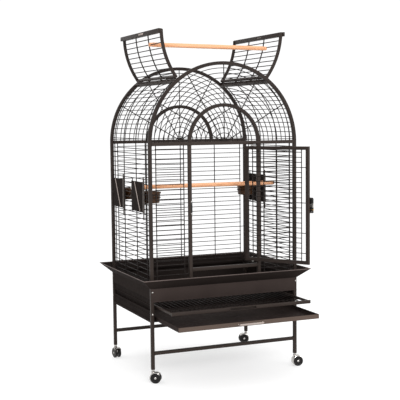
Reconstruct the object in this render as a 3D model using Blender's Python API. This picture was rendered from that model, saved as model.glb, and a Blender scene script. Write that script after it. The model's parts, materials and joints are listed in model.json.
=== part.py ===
"""Bird cage on a wheeled stand: arched wire cage with an opening roof, a swing door, feeders, grate and tray.

Metres, +Z up, +X to the right of the door, -Y out of the front. The origin is on the floor under the middle of the
whole envelope. Shapes are laid out from the cage's own middle plane and moved back by CAGE_Y when they are placed.
"""

import math

import bmesh
import bpy
from mathutils import Matrix, Vector

# ---- driving sizes -------------------------------------------------------------------------------------------------
WIDTH = 0.889  # between upright centres, side to side
DEPTH = 0.660  # between upright centres, front to back
TUBE = 0.019  # square frame tube
GAP = 0.0003  # play between touching pieces
LEG_BOTTOM = 0.076
SPRING_Z = 1.3175  # where the uprights turn into the arches
ARCH_R = WIDTH / 2  # the frame arches are half circles
INNER_ARCH_R = 0.212
CAGE_Y = 0.1395  # cage middle plane, behind the envelope's middle

POST_X = INNER_ARCH_R
SILL_Z = 0.616
CROSSBAR_Z = 0.165
BASE_FRAME_Z = 0.541

WIRE = 0.0035  # wires are modelled as square bars
WIRE_STEP = 0.055
WIRE_BOTTOM = 0.553
WIRE_TOP = 1.300

GUARD_OUT = 0.0707  # how far the seed guard's lip stands out from the upright centres
GUARD_LIP_Z = 0.582
GUARD_FOOT_Z = 0.526
SHEET = 0.002

CABINET_BOTTOM = 0.335
APRON_BOTTOM = 0.451
GRATE_Z = 0.422
TRAY_BOTTOM = 0.343
TRAY_TOP = 0.368
DRAWER_HALF = 0.420  # half width of the grate and of the tray
GRATE_FRONT = -0.564
GRATE_BACK = 0.068
TRAY_FRONT = -0.657
TRAY_BACK = -0.017

DOOR_HALF = 0.190  # stile centres
DOOR_LOW = 0.657
DOOR_HIGH = 1.288
DOOR_AXIS = (0.165, -0.3470)
DOOR_OPEN = math.radians(125)

FLAP_ANGLE = math.radians(38.4)  # hinge line, from straight up, seen from the arch centre
FLAP_AXIS_R = 0.4545
FLAP_OPEN = {-1: math.radians(88), 1: math.radians(90)}  # left and right; both lean on the play perch
FLAP_BAR = 0.012
FREE_BAR_X = (0.014, 0.038)

FEEDER_Z = (0.938, 1.103)
FEEDER_WIDTH = 0.190
FEEDERS = {  # side, rear edge of its window
    "left_rear": (-1, 0.308),
    "left_front": (-1, -0.036),
    "right_rear": (1, 0.255),
}
CUP_R = 0.058
CUP_HEIGHT = 0.062
CUP_Z = 0.982
CUP_REACH = 0.076  # cup centre, inward from the wall

PERCH_R = 0.0125
INNER_PERCH_Y = (-0.020, -0.070)  # left end between the feeders, right end nearer the door
INNER_PERCH_Z = 1.065
TOP_PERCH = (-0.133, 1.866)
TOP_PERCH_HALF = 0.323

WHEEL_R = 0.030
CASTER_TRAIL = 0.016
CASTER_HEADINGS = {  # side, end of the cage, direction that the wheels trail in, in degrees from +X
    "front_left": (-1, -1, -32),
    "front_right": (1, -1, -12),
    "rear_left": (-1, 1, -85),
    "rear_right": (1, 1, 170),
}

HALF_X = WIDTH / 2
HALF_Y = DEPTH / 2
FACE = TUBE / 2

MATERIALS = {
    "frame": ((0.055, 0.045, 0.042), 0.55, 0.6),
    "wire": ((0.050, 0.042, 0.040), 0.5, 0.6),
    "sheet": ((0.048, 0.038, 0.036), 0.55, 0.5),
    "wood": ((0.80, 0.45, 0.27), 0.55, 0.0),
    "cup": ((0.045, 0.022, 0.010), 0.35, 0.0),
    "chrome": ((0.80, 0.78, 0.76), 0.15, 1.0),
    "lock": ((0.03, 0.03, 0.03), 0.4, 0.2),
    "wheel": ((0.02, 0.018, 0.018), 0.45, 0.0),
}


# ---- helpers -------------------------------------------------------------------------------------------------------
def clear_scene():
    for obj in list(bpy.data.objects):
        bpy.data.objects.remove(obj, do_unlink=True)


def material(slot):
    found = bpy.data.materials.get(slot)
    if found:
        return found
    colour, roughness, metallic = MATERIALS[slot]
    made = bpy.data.materials.new(slot)
    made.use_nodes = True
    shader = made.node_tree.nodes["Principled BSDF"]
    shader.inputs["Base Color"].default_value = (*colour, 1.0)
    shader.inputs["Roughness"].default_value = roughness
    shader.inputs["Metallic"].default_value = metallic
    return made


def place(name, bm, slot, origin=(0, 0, 0), smooth=False):
    """Turns a bmesh in cage coordinates into an object whose origin is at the given cage point."""
    bmesh.ops.recalc_face_normals(bm, faces=bm.faces)
    bmesh.ops.translate(bm, verts=bm.verts, vec=-Vector(origin))
    mesh = bpy.data.meshes.new(name)
    bm.to_mesh(mesh)
    bm.free()
    mesh.materials.append(material(slot))
    obj = bpy.data.objects.new(name, mesh)
    obj.location = Vector(origin) + Vector((0, CAGE_Y, 0))
    bpy.context.scene.collection.objects.link(obj)
    if smooth:
        mesh.shade_smooth()
        mesh.set_sharp_from_angle(angle=math.radians(35))
    return obj


def combine(obj, bm, operation):
    """Joins a shape in cage coordinates to an object, or cuts it out of it, with a Boolean modifier."""
    tool = place(f"{obj.name}_{operation.lower()}_tool", bm, "frame")
    tool.hide_render = True
    tool.display_type = "WIRE"
    cut = obj.modifiers.new(operation.lower(), "BOOLEAN")
    cut.operation = operation
    cut.object = tool
    return tool


def box(low, high):
    bm = bmesh.new()
    add_box(bm, low, high)
    return bm


def add_box(bm, low, high):
    size = [b - a for a, b in zip(low, high)]
    middle = [(a + b) / 2 for a, b in zip(low, high)]
    bmesh.ops.create_cube(bm, size=1.0, matrix=Matrix.Translation(middle) @ Matrix.Diagonal((*size, 1.0)))


def prism(outline, start, end, along):
    """Extrudes a closed outline of (a, b) points: along X they are (y, z), along Y (x, z), along Z (x, y)."""
    bm = bmesh.new()
    layouts = {"X": lambda a, b, s: (s, a, b), "Y": lambda a, b, s: (a, s, b), "Z": lambda a, b, s: (a, b, s)}
    put = layouts[along]
    near = [bm.verts.new(put(a, b, start)) for a, b in outline]
    far = [bm.verts.new(put(a, b, end)) for a, b in outline]
    bm.faces.new(near)
    bm.faces.new(far[::-1])
    for i in range(len(outline)):
        j = (i + 1) % len(outline)
        bm.faces.new((near[i], far[i], far[j], near[j]))
    return bm


def turned(profile, segments, matrix):
    """Turns a profile of (radius, height) points about Z. Points at radius 0 become poles."""
    bm = bmesh.new()
    rings = []
    for radius, height in profile:
        if radius < 1e-9:
            rings.append([bm.verts.new((0, 0, height))])
            continue
        turns = [2 * math.pi * k / segments for k in range(segments)]
        rings.append([bm.verts.new((radius * math.cos(a), radius * math.sin(a), height)) for a in turns])
    closed = profile[0][0] > 1e-9
    pairs = list(zip(rings, rings[1:] + rings[:1])) if closed else list(zip(rings, rings[1:]))
    for lower, upper in pairs:
        for k in range(segments):
            n = (k + 1) % segments
            corners = [lower[k % len(lower)], lower[n % len(lower)], upper[n % len(upper)], upper[k % len(upper)]]
            unique = list(dict.fromkeys(corners))
            if len(unique) > 2:
                bm.faces.new(unique)
    bmesh.ops.transform(bm, matrix=matrix, verts=bm.verts)
    return bm


def bent_tube(path, y):
    """Sweeps the square tube along a path of (x, z) points in the plane y. Corners are mitred."""
    bm = bmesh.new()
    points = [Vector(p) for p in path]
    rings = []
    for i, point in enumerate(points):
        before = (point - points[max(i - 1, 0)]).normalized()
        after = (points[min(i + 1, len(points) - 1)] - point).normalized()
        ahead = (before + after).normalized() if before.length and after.length else (before or after)
        if before.length == 0:
            ahead = after
        if after.length == 0:
            ahead = before
        side = Vector((-ahead.y, ahead.x))
        reference = after if after.length else before
        stretch = 1 / max(abs(ahead.dot(reference)), 0.5)
        corners = []
        for across, deep in ((-1, -1), (1, -1), (1, 1), (-1, 1)):
            at = point + side * (across * FACE * stretch)
            corners.append(bm.verts.new((at.x, y + deep * FACE, at.y)))
        rings.append(corners)
    for one, two in zip(rings, rings[1:]):
        for k in range(4):
            n = (k + 1) % 4
            bm.faces.new((one[k], one[n], two[n], two[k]))
    bm.faces.new(rings[0][::-1])
    bm.faces.new(rings[-1])
    return bm


def arc(radius, first, last, steps):
    """Points of an arch about the spring line's middle, angles counted from straight up towards +X."""
    angles = [first + (last - first) * k / steps for k in range(steps + 1)]
    return [(radius * math.sin(a), SPRING_Z + radius * math.cos(a)) for a in angles]


def lattice(u_breaks, v_breaks, solid, thickness, put):
    """Closed panel of bars: the cells of a grid that solid(i, j) picks, given a thickness and laid out by put."""
    bm = bmesh.new()
    corner = {}

    def vert(i, j, side):
        key = (i, j, side)
        if key not in corner:
            corner[key] = bm.verts.new(put(u_breaks[i], v_breaks[j], side * thickness / 2))
        return corner[key]

    columns = len(u_breaks) - 1
    rows = len(v_breaks) - 1
    cells = {(i, j) for i in range(columns) for j in range(rows) if solid(i, j)}
    for i, j in sorted(cells):
        loop = ((i, j), (i + 1, j), (i + 1, j + 1), (i, j + 1))
        bm.faces.new([vert(a, b, 1) for a, b in loop])
        bm.faces.new([vert(a, b, -1) for a, b in reversed(loop)])
        beside = ((i, j - 1), (i + 1, j), (i, j + 1), (i - 1, j))
        for k, other in enumerate(beside):
            if other in cells:
                continue
            a = loop[k]
            b = loop[(k + 1) % 4]
            bm.faces.new((vert(*b, 1), vert(*a, 1), vert(*a, -1), vert(*b, -1)))
    return bm


def wire_panel(u_lines, v_lines, put, windows=(), width=WIRE, thickness=WIRE):
    """Wires along each line, with rectangular windows whose rims are wires and which are empty inside."""
    half = width / 2
    us = {x for line in u_lines for x in (line - half, line + half)}
    vs = {x for line in v_lines for x in (line - half, line + half)}
    for u0, u1, v0, v1 in windows:
        us |= {u0 - half, u0 + half, u1 - half, u1 + half}
        vs |= {v0 - half, v0 + half, v1 - half, v1 + half}
    us = sorted(set(round(x, 6) for x in us))
    vs = sorted(set(round(x, 6) for x in vs))

    def near(value, lines):
        return any(abs(value - line) < half for line in lines)

    def solid(i, j):
        u = (us[i] + us[i + 1]) / 2
        v = (vs[j] + vs[j + 1]) / 2
        for u0, u1, v0, v1 in windows:
            if u0 + half < u < u1 - half and v0 + half < v < v1 - half:
                return False
            if u0 - half < u < u1 + half and v0 - half < v < v1 + half:
                return True
        return near(u, u_lines) or near(v, v_lines)

    return lattice(us, vs, solid, thickness, put)


def wire_heights():
    count = round((1.268 - WIRE_BOTTOM) / WIRE_STEP)
    return [WIRE_BOTTOM + WIRE_STEP * k for k in range(count + 1)] + [WIRE_TOP]


def on_side(side):
    return lambda u, v, w: (side * HALF_X + w, u, v)


def on_front(end):
    return lambda u, v, w: (u, end * HALF_Y + w, v)


# ---- frame ---------------------------------------------------------------------------------------------------------
def make_hoops():
    for name, end in (("front_hoop", -1), ("rear_hoop", 1)):
        arch = arc(ARCH_R, -math.pi / 2, math.pi / 2, 24)
        path = [(-HALF_X, LEG_BOTTOM)] + arch + [(HALF_X, LEG_BOTTOM)]
        place(name, bent_tube(path, end * HALF_Y), "frame")


def make_rails():
    inner = HALF_X - FACE - 4 * GAP
    for name, end in (("front", -1), ("rear", 1)):
        y = end * HALF_Y
        low, high = SPRING_Z - FACE, SPRING_Z + FACE
        place(f"{name}_spring_rail", box((-inner, y - FACE, low), (inner, y + FACE, high)), "frame")
        low, high = CROSSBAR_Z - FACE, CROSSBAR_Z + FACE
        place(f"{name}_lower_crossbar", box((-inner, y - FACE, low), (inner, y + FACE, high)), "frame")
        foot = SPRING_Z + FACE + GAP
        angle = math.acos((foot - SPRING_Z) / INNER_ARCH_R)
        arch = arc(INNER_ARCH_R, -angle, angle, 18)
        arch[0] = (-POST_X, foot)
        arch[-1] = (POST_X, foot)
        place(f"{name}_inner_arch", flat_footed(bent_tube(arch, y), foot), "frame")


def flat_footed(bm, foot):
    """Brings an arch's two cut ends down flat on the rail."""
    for vert in bm.verts:
        if vert.co.z < foot + 0.006:
            vert.co.z = foot
    return bm


def make_door_posts():
    low = GUARD_FOOT_Z
    high = SPRING_Z - FACE - GAP
    for name, side in (("left", -1), ("right", 1)):
        x = side * POST_X
        post = box((x - FACE, -HALF_Y - FACE, low), (x + FACE, -HALF_Y + FACE, high))
        place(f"door_post_{name}", post, "frame")
    inner = POST_X - FACE - GAP
    sill = box((-inner, -HALF_Y - FACE, SILL_Z - FACE), (inner, -HALF_Y + FACE, SILL_Z + FACE))
    place("door_sill", sill, "frame")


def make_base_frame():
    outer_x = HALF_X - FACE - GAP
    outer_y = HALF_Y - FACE - GAP
    us = [-outer_x, -outer_x + TUBE, outer_x - TUBE, outer_x]
    vs = [-outer_y, -outer_y + TUBE, outer_y - TUBE, outer_y]
    ring = lattice(us, vs, lambda i, j: (i, j) != (1, 1), 0.014, lambda u, v, w: (u, v, BASE_FRAME_Z + w))
    place("base_frame", ring, "frame")


# ---- wire panels ---------------------------------------------------------------------------------------------------
def make_side_meshes():
    uprights = [-0.308, -0.246, -0.100, 0.100, 0.246, 0.308]
    for name, side in (("left", -1), ("right", 1)):
        windows = [
            (rear - FEEDER_WIDTH, rear, *FEEDER_Z) for hand, rear in FEEDERS.values() if hand == side
        ]
        panel = wire_panel(uprights, wire_heights(), on_side(side), windows)
        place(f"{name}_side_mesh", panel, "wire")


def make_end_meshes():
    panel = wire_panel([-0.405, -0.230, 0.0, 0.230, 0.405], wire_heights(), on_front(1))
    place("rear_mesh", panel, "wire")
    for name, side in (("left", -1), ("right", 1)):
        lines = sorted((side * 0.247, side * 0.415))
        place(f"front_mesh_{name}", wire_panel(lines, wire_heights(), on_front(-1)), "wire")


def make_fan_meshes():
    """Sunburst wires behind the arches: rings every ring_step and a spoke every 30 degrees."""
    ring_step = 0.0575
    radii = [0.0235 + ring_step * k for k in range(8)]
    half = WIRE / 2
    spokes = [math.radians(30 * k) for k in range(1, 6)]
    between = [math.radians(10 * k) for k in range(19)]
    stops = []
    for angle in between:
        if any(abs(angle - spoke) < 1e-6 for spoke in spokes):
            stops += [(angle, -half), (angle, half)]
        else:
            stops.append((angle, 0.0))
    rings = [r + s for r in radii for s in (-half, half)]

    def solid(i, j):
        on_spoke = stops[i][0] == stops[i + 1][0]
        return on_spoke or j % 2 == 0

    for name, end in (("front", -1), ("rear", 1)):
        plane = end * (HALF_Y - FACE - GAP - half)

        def put(stop, radius, w):
            angle, aside = stop
            x = -radius * math.cos(angle) + aside * math.sin(angle)
            z = radius * math.sin(angle) + aside * math.cos(angle)
            return (x, plane + w, SPRING_Z + z)

        place(f"{name}_fan_mesh", lattice(stops, rings, solid, WIRE, put), "wire")


def on_vault(side):
    """u is along Y, v is the distance along the arch from straight up, w is outward."""

    def put(u, v, w):
        angle = v / ARCH_R
        return (side * (ARCH_R + w) * math.sin(angle), u, SPRING_Z + (ARCH_R + w) * math.cos(angle))

    return put


def make_vault_meshes():
    arcs = [-0.308, -0.246, -0.100, 0.100, 0.246, 0.308]
    top = ARCH_R * FLAP_ANGLE + 0.017 + 0.004
    bottom = ARCH_R * math.pi / 2 - 0.006
    rows = 7
    lines = [top + (bottom - top) * k / rows for k in range(rows + 1)]
    for name, side in (("left", -1), ("right", 1)):
        place(f"{name}_vault_mesh", wire_panel(arcs, lines, on_vault(side)), "wire")


# ---- opening roof --------------------------------------------------------------------------------------------------
def flap_axis(side):
    return (side * FLAP_AXIS_R * math.sin(FLAP_ANGLE), SPRING_Z + FLAP_AXIS_R * math.cos(FLAP_ANGLE))


def make_roof_bars():
    half_y = HALF_Y - FACE - GAP
    near = ARCH_R * FLAP_ANGLE + 0.003
    for name, side in (("left", -1), ("right", 1)):
        put = on_vault(side)
        outline = []
        for along, out in ((near, -0.007), (near, 0.007), (near + 0.014, 0.007), (near + 0.014, -0.007)):
            x, _, z = put(0, along, out)
            outline.append((x, z))
        place(f"{name}_roof_bar", prism(outline, -half_y, half_y, "Y"), "frame")


def opened(bm, side):
    """Turns a shape drawn in the closed roof about the flap's hinge line to its open rest position."""
    x, z = flap_axis(side)
    turn = Matrix.Rotation(side * FLAP_OPEN[side], 4, "Y")
    centre = Matrix.Translation((x, 0, z))
    bmesh.ops.transform(bm, matrix=centre @ turn @ centre.inverted(), verts=bm.verts)
    return bm


def make_flaps():
    edge = 0.3165
    first = FREE_BAR_X[0] + 0.002
    last = ARCH_R * FLAP_ANGLE - 0.003
    inner_first = first + 0.014
    inner_last = last - 0.014
    steps = 8
    us = [-edge, -edge + FLAP_BAR, edge - FLAP_BAR, edge]
    vs = [first] + [inner_first + (inner_last - inner_first) * k / steps for k in range(steps + 1)] + [last]
    for name, side in (("left", -1), ("right", 1)):
        x, z = flap_axis(side)

        def rim(i, j):
            return i != 1 or j in (0, len(vs) - 2)

        ring = lattice(us, vs, rim, FLAP_BAR, on_vault(side))
        frame = place(f"{name}_flap_frame", opened(ring, side), "frame", (x, 0, z))
        combine(frame, opened(free_bar(side), side), "UNION")
        inset = edge - FLAP_BAR - GAP - WIRE / 2
        arcs = [-inset, -0.105, 0.105, inset]
        low, high = FREE_BAR_X[1] + 0.004, inner_last - 0.004
        lines = [low + (high - low) * k / 5 for k in range(6)]
        mesh = wire_panel(arcs, lines, on_vault(side))
        place(f"{name}_flap_mesh", opened(mesh, side), "wire", (x, 0, z))


def free_bar(side):
    """Closing bar of a flap: its ends reach over the arches and rest on them when the roof is shut."""
    rest = SPRING_Z + ARCH_R + FACE + GAP
    top = rest + 0.011
    foot = SPRING_Z + ARCH_R - 0.0045
    ear, stem = 0.331, 0.3150
    outline = [(-stem, foot), (stem, foot), (stem, rest), (ear, rest), (ear, top), (-ear, top), (-ear, rest), (-stem, rest)]
    near, far = sorted(side * x for x in FREE_BAR_X)
    return prism(outline, near, far, "X")


def make_top_perch():
    y, z = TOP_PERCH
    place("top_perch", dowel(TOP_PERCH_HALF, (0, y, z), 0), "wood", (0, y, z), smooth=True)


def dowel(half, middle, slant):
    """Round rod along X, turned by the slant about Z."""
    profile = [(0, -half), (PERCH_R - 0.003, -half), (PERCH_R, -half + 0.006)]
    profile += [(PERCH_R, half - 0.006), (PERCH_R - 0.003, half), (0, half)]
    lie_down = Matrix.Rotation(slant, 4, "Z") @ Matrix.Rotation(math.pi / 2, 4, "Y")
    return turned(profile, 14, Matrix.Translation(middle) @ lie_down)


def make_inner_perch():
    left, right = INNER_PERCH_Y
    half = HALF_X - WIRE - 0.002
    slant = math.atan((right - left) / (2 * half))
    middle = (0, (left + right) / 2, INNER_PERCH_Z)
    place("inner_perch", dowel(half, middle, slant), "wood", smooth=True)


# ---- door ----------------------------------------------------------------------------------------------------------
def door_swing(bm):
    """Turns a shape drawn with the door shut about the door's axis to its open rest position."""
    centre = Matrix.Translation((*DOOR_AXIS, 0))
    bmesh.ops.transform(bm, matrix=centre @ Matrix.Rotation(DOOR_OPEN, 4, "Z") @ centre.inverted(), verts=bm.verts)
    return bm


def make_door():
    axis = (*DOOR_AXIS, 0)
    us = [-DOOR_HALF - FACE, -DOOR_HALF + FACE, DOOR_HALF - FACE, DOOR_HALF + FACE]
    vs = [DOOR_LOW - FACE, DOOR_LOW + FACE, DOOR_HIGH - FACE, DOOR_HIGH + FACE]
    leaf = lattice(us, vs, lambda i, j: (i, j) != (1, 1), TUBE, on_front(-1))
    frame = place("door_frame", door_swing(leaf), "frame", axis)
    for height in (DOOR_LOW, DOOR_HIGH):
        combine(frame, door_swing(knuckle(height)), "UNION")
    inset = DOOR_HALF - FACE - GAP - WIRE / 2
    low = DOOR_LOW + FACE + GAP + WIRE / 2
    high = DOOR_HIGH - FACE - GAP - WIRE / 2
    rows = 11
    heights = [low + (high - low) * k / rows for k in range(rows + 1)]
    mesh = wire_panel([-inset, -0.153, 0.0, 0.153, inset], heights, on_front(-1))
    place("door_mesh", door_swing(mesh), "wire", axis)


def knuckle(height):
    """Bored eye on the leaf's front face; it overlaps the rail that it is joined to."""
    outer, bore, half = 0.0085, 0.0034, 0.0085
    ring = [(outer, -half), (outer, half), (bore, half), (bore, -half)]
    return turned(ring, 16, Matrix.Translation((*DOOR_AXIS, height)))


def make_door_hinges():
    """A lug on the post carries each pin; the leaf's eye turns on the pin."""
    x, y = DOOR_AXIS
    front = -HALF_Y - FACE - GAP
    plans = {
        "upper": (DOOR_HIGH + 0.0095 + GAP, DOOR_HIGH + 0.0095 + GAP + 0.003, DOOR_HIGH - 0.011),
        "lower": (DOOR_LOW - 0.0095 - GAP - 0.003, DOOR_LOW - 0.0095 - GAP, DOOR_LOW + 0.011),
    }
    for name, (low, high, pin_end) in plans.items():
        outline = [(x - 0.008, y - 0.006), (POST_X + FACE, y - 0.006), (POST_X + FACE, front), (x - 0.008, front)]
        lug = place(f"door_hinge_{name}", prism(outline, low, high, "Z"), "frame")
        middle = (low + high) / 2
        start, stop = sorted((middle, pin_end))
        combine(lug, turned([(0, start), (0.003, start), (0.003, stop), (0, stop)], 16, Matrix.Translation((x, y, 0))), "UNION")


def make_door_lock():
    axis = (*DOOR_AXIS, 0)
    face = -HALF_Y - FACE - GAP
    low, high = (-0.214, face - 0.014, 0.935), (-0.181, face, 1.017)
    place("lock_body", door_swing(box(low, high)), "lock", axis)
    middle = Vector((-0.1975, face - 0.014 - GAP, 0.990))
    profile = [(0, 0), (0.009, 0), (0.011, 0.003), (0.011, 0.010), (0.008, 0.013), (0, 0.013)]
    turn = Matrix.Rotation(math.pi / 2, 4, "X")
    knob = door_swing(turned(profile, 16, Matrix.Translation(middle) @ turn))
    place("lock_knob", knob, "chrome", door_point(middle), smooth=True)


def door_point(point):
    """Where a point of the shut door lies when the door is open."""
    centre = Matrix.Translation((*DOOR_AXIS, 0))
    return centre @ Matrix.Rotation(DOOR_OPEN, 4, "Z") @ centre.inverted() @ Vector(point)


# ---- feeders -------------------------------------------------------------------------------------------------------
def make_feeders():
    for name, (side, rear) in FEEDERS.items():
        inset = WIRE / 2 + 0.0012
        near, far = rear - FEEDER_WIDTH + inset, rear - inset
        low, high = FEEDER_Z[0] + inset, FEEDER_Z[1] - inset
        hinge = (side * (HALF_X + 0.001), near, 0)
        wall = side * HALF_X
        centre_x = side * (HALF_X - CUP_REACH)
        shelf = CUP_Z - GAP
        plate = ((wall + side * 0.001, low), (wall + side * 0.001, high), (wall - side * 0.001, high))
        ledge = ((wall - side * 0.001, shelf), (centre_x - side * 0.035, shelf))
        under = ((centre_x - side * 0.035, shelf - 0.002), (wall - side * 0.001, shelf - 0.002))
        outline = [*plate, *ledge, *under, (wall - side * 0.001, low)]
        place(f"feeder_door_{name}", feeder_plate(outline, near, far, side), "sheet", hinge)
        middle = ((near + far) / 2)
        cup = turned(cup_profile(), 20, Matrix.Translation((centre_x, middle, CUP_Z)))
        place(f"cup_{name}", cup, "cup", (centre_x, middle, CUP_Z), smooth=True)


def feeder_plate(outline, near, far, side):
    """Door plate as wide as its window, with a narrower shelf for the cup."""
    middle = (near + far) / 2
    narrow = 0.030
    bm = bmesh.new()
    xs = sorted({round(a, 6) for a, _ in outline})
    wall_in = max(xs, key=lambda value: -side * value)
    plate_edge = outline[2][0]
    stations = [near, middle - narrow, middle + narrow, far]
    shelf_top = outline[3][1]
    shelf_low = outline[5][1]
    zs = [outline[0][1], shelf_low, shelf_top, outline[1][1]]
    outer = outline[0][0]
    columns = [outer, plate_edge, wall_in]
    corner = {}

    def vert(i, j, k):
        if (i, j, k) not in corner:
            corner[(i, j, k)] = bm.verts.new((columns[i], stations[j], zs[k]))
        return corner[(i, j, k)]

    cells = {(0, j, k) for j in range(3) for k in range(3)} | {(1, 1, 1)}
    sides = (
        ((-1, 0, 0), ((0, 0, 0), (0, 0, 1), (0, 1, 1), (0, 1, 0))),
        ((1, 0, 0), ((1, 0, 0), (1, 1, 0), (1, 1, 1), (1, 0, 1))),
        ((0, -1, 0), ((0, 0, 0), (1, 0, 0), (1, 0, 1), (0, 0, 1))),
        ((0, 1, 0), ((0, 1, 0), (0, 1, 1), (1, 1, 1), (1, 1, 0))),
        ((0, 0, -1), ((0, 0, 0), (0, 1, 0), (1, 1, 0), (1, 0, 0))),
        ((0, 0, 1), ((0, 0, 1), (1, 0, 1), (1, 1, 1), (0, 1, 1))),
    )
    for i, j, k in sorted(cells):
        for (di, dj, dk), loop in sides:
            if (i + di, j + dj, k + dk) in cells:
                continue
            bm.faces.new([vert(i + a, j + b, k + c) for a, b, c in loop])
    return bm


def cup_profile():
    wall = 0.0025
    foot = CUP_R - 0.008
    outside = [(0, 0), (foot, 0), (CUP_R, CUP_HEIGHT)]
    inside = [(CUP_R - wall, CUP_HEIGHT), (foot - wall, wall), (0, wall)]
    return outside + inside


# ---- base ----------------------------------------------------------------------------------------------------------
def make_seed_guards():
    """Four sloping sheets round the cage, mitred at the corners."""
    out = FACE + GAP
    thick = 0.0022
    for name, across, reach, axis in (
        ("front", HALF_X, -HALF_Y, "X"),
        ("rear", HALF_X, HALF_Y, "X"),
        ("left", HALF_Y, -HALF_X, "Y"),
        ("right", HALF_Y, HALF_X, "Y"),
    ):
        sign = math.copysign(1, reach)
        mitre = 0.0008
        bm = bmesh.new()
        rings = []
        for distance, height in ((out, GUARD_FOOT_Z), (GUARD_OUT, GUARD_LIP_Z), (GUARD_OUT - thick, GUARD_LIP_Z), (out, GUARD_FOOT_Z + thick)):
            half = across + distance - mitre
            place_at = reach + sign * distance
            ends = []
            for s in (-half, half):
                ends.append(bm.verts.new((s, place_at, height) if axis == "X" else (place_at, s, height)))
            rings.append(ends)
        for k in range(4):
            n = (k + 1) % 4
            bm.faces.new((rings[k][0], rings[k][1], rings[n][1], rings[n][0]))
        bm.faces.new([ring[0] for ring in rings])
        bm.faces.new([ring[1] for ring in rings])
        place(f"seed_guard_{name}", bm, "sheet")


def make_cabinet():
    inner_y = HALF_Y - FACE - GAP
    skin = HALF_X + FACE - 0.003
    top = GUARD_FOOT_Z - GAP
    ledge = DRAWER_HALF - 0.012
    grate_rest = GRATE_Z - 0.006 - GAP
    tray_rest = TRAY_BOTTOM - GAP
    for name, side in (("left", -1), ("right", 1)):
        outline = [
            (skin, CABINET_BOTTOM),
            (skin, top),
            (skin - SHEET, top),
            (skin - SHEET, grate_rest),
            (ledge, grate_rest),
            (ledge, grate_rest - SHEET),
            (skin - SHEET, grate_rest - SHEET),
            (skin - SHEET, tray_rest),
            (ledge, tray_rest),
            (ledge, tray_rest - SHEET),
            (skin - SHEET, tray_rest - SHEET),
            (skin - SHEET, CABINET_BOTTOM),
        ]
        panel = prism([(side * x, z) for x, z in outline], -inner_y, inner_y, "Y")
        place(f"cabinet_side_{name}", panel, "sheet")
    half_x = HALF_X - FACE - GAP
    rear = HALF_Y + FACE - 0.003
    floor_front = -HALF_Y + FACE + 0.0025
    fold = [(floor_front, CABINET_BOTTOM), (rear, CABINET_BOTTOM), (rear, top), (rear - SHEET, top)]
    fold += [(rear - SHEET, CABINET_BOTTOM + SHEET), (floor_front, CABINET_BOTTOM + SHEET)]
    place("cabinet_back", prism(fold, -half_x, half_x, "X"), "sheet")  # one sheet, folded: back and floor
    front = -HALF_Y - FACE - GAP
    half_x = HALF_X + FACE - 0.002
    place("front_apron", box((-half_x, front - SHEET, APRON_BOTTOM), (half_x, front, top)), "sheet")


def make_grate():
    frame = 0.012
    bar = 0.004
    edge = DRAWER_HALF - 0.001
    spacing = 0.055
    bars = [spacing * k for k in range(-7, 8)]
    us = sorted([-edge, -edge + frame, edge - frame, edge] + [x + s for x in bars for s in (-bar / 2, bar / 2)])
    vs = [GRATE_FRONT, GRATE_FRONT + frame, -0.2585, -0.2545, GRATE_BACK - frame, GRATE_BACK]

    def solid(i, j):
        middle = (us[i] + us[i + 1]) / 2
        return abs(middle) > edge - frame or j in (0, 2, 4) or any(abs(middle - x) < bar / 2 for x in bars)

    grid = lattice(us, vs, solid, 0.012, lambda u, v, w: (u, v, GRATE_Z + w))
    place("grate", grid, "frame", (0, GRATE_FRONT, GRATE_Z))


def make_tray():
    wall = 0.0016
    pan = bmesh.new()
    outer = (DRAWER_HALF, TRAY_FRONT, TRAY_BACK)
    inner = (DRAWER_HALF - wall, TRAY_FRONT + wall, TRAY_BACK - wall)
    rings = []
    for (half, front, back), height in ((outer, TRAY_BOTTOM), (outer, TRAY_TOP), (inner, TRAY_TOP), (inner, TRAY_BOTTOM + wall)):
        plan = ((-half, front), (half, front), (half, back), (-half, back))
        rings.append([pan.verts.new((x, y, height)) for x, y in plan])
    for one, two in zip(rings, rings[1:]):
        for k in range(4):
            n = (k + 1) % 4
            pan.faces.new((one[k], one[n], two[n], two[k]))
    pan.faces.new(rings[0][::-1])
    pan.faces.new(rings[-1])
    place("tray", pan, "sheet", (0, TRAY_FRONT, TRAY_BOTTOM))
    front = TRAY_FRONT - GAP
    z0, z1 = 0.3515, 0.3595
    outline = [(-0.078, front), (-0.070, front), (-0.066, front - 0.014), (0.066, front - 0.014), (0.070, front), (0.078, front)]
    outline += [(0.070, front - 0.022), (-0.070, front - 0.022)]
    place("tray_handle", prism(outline, z0, z1, "Z"), "chrome", (0, TRAY_FRONT, z0))


# ---- casters -------------------------------------------------------------------------------------------------------
def make_casters():
    for name, (side, end, heading) in CASTER_HEADINGS.items():
        stem = Vector((side * HALF_X, end * HALF_Y, 0))
        turn = Matrix.Translation(stem) @ Matrix.Rotation(math.radians(heading), 4, "Z")
        body = caster_body()
        bmesh.ops.transform(body, matrix=turn, verts=body.verts)
        fork = place(f"caster_body_{name}", body, "chrome", stem)
        bore = turned([(0, -0.02), (0.0044, -0.02), (0.0044, 0.02), (0, 0.02)], 16, turn @ axle_frame())
        combine(fork, bore, "DIFFERENCE")
        collar = turned([(0, 0.0612), (0.009, 0.0612), (0.009, LEG_BOTTOM - GAP), (0, LEG_BOTTOM - GAP)], 16, turn)
        combine(fork, collar, "UNION")
        wheels = turned(wheel_profile(), 18, turn @ axle_frame())
        hub = turn @ Vector((CASTER_TRAIL, 0, WHEEL_R))
        place(f"caster_wheels_{name}", wheels, "wheel", hub, smooth=True)


def axle_frame():
    """The turned wheel's axis lies along the caster's own Y, through the hub."""
    return Matrix.Translation((CASTER_TRAIL, 0, WHEEL_R)) @ Matrix.Rotation(math.pi / 2, 4, "X")


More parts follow.
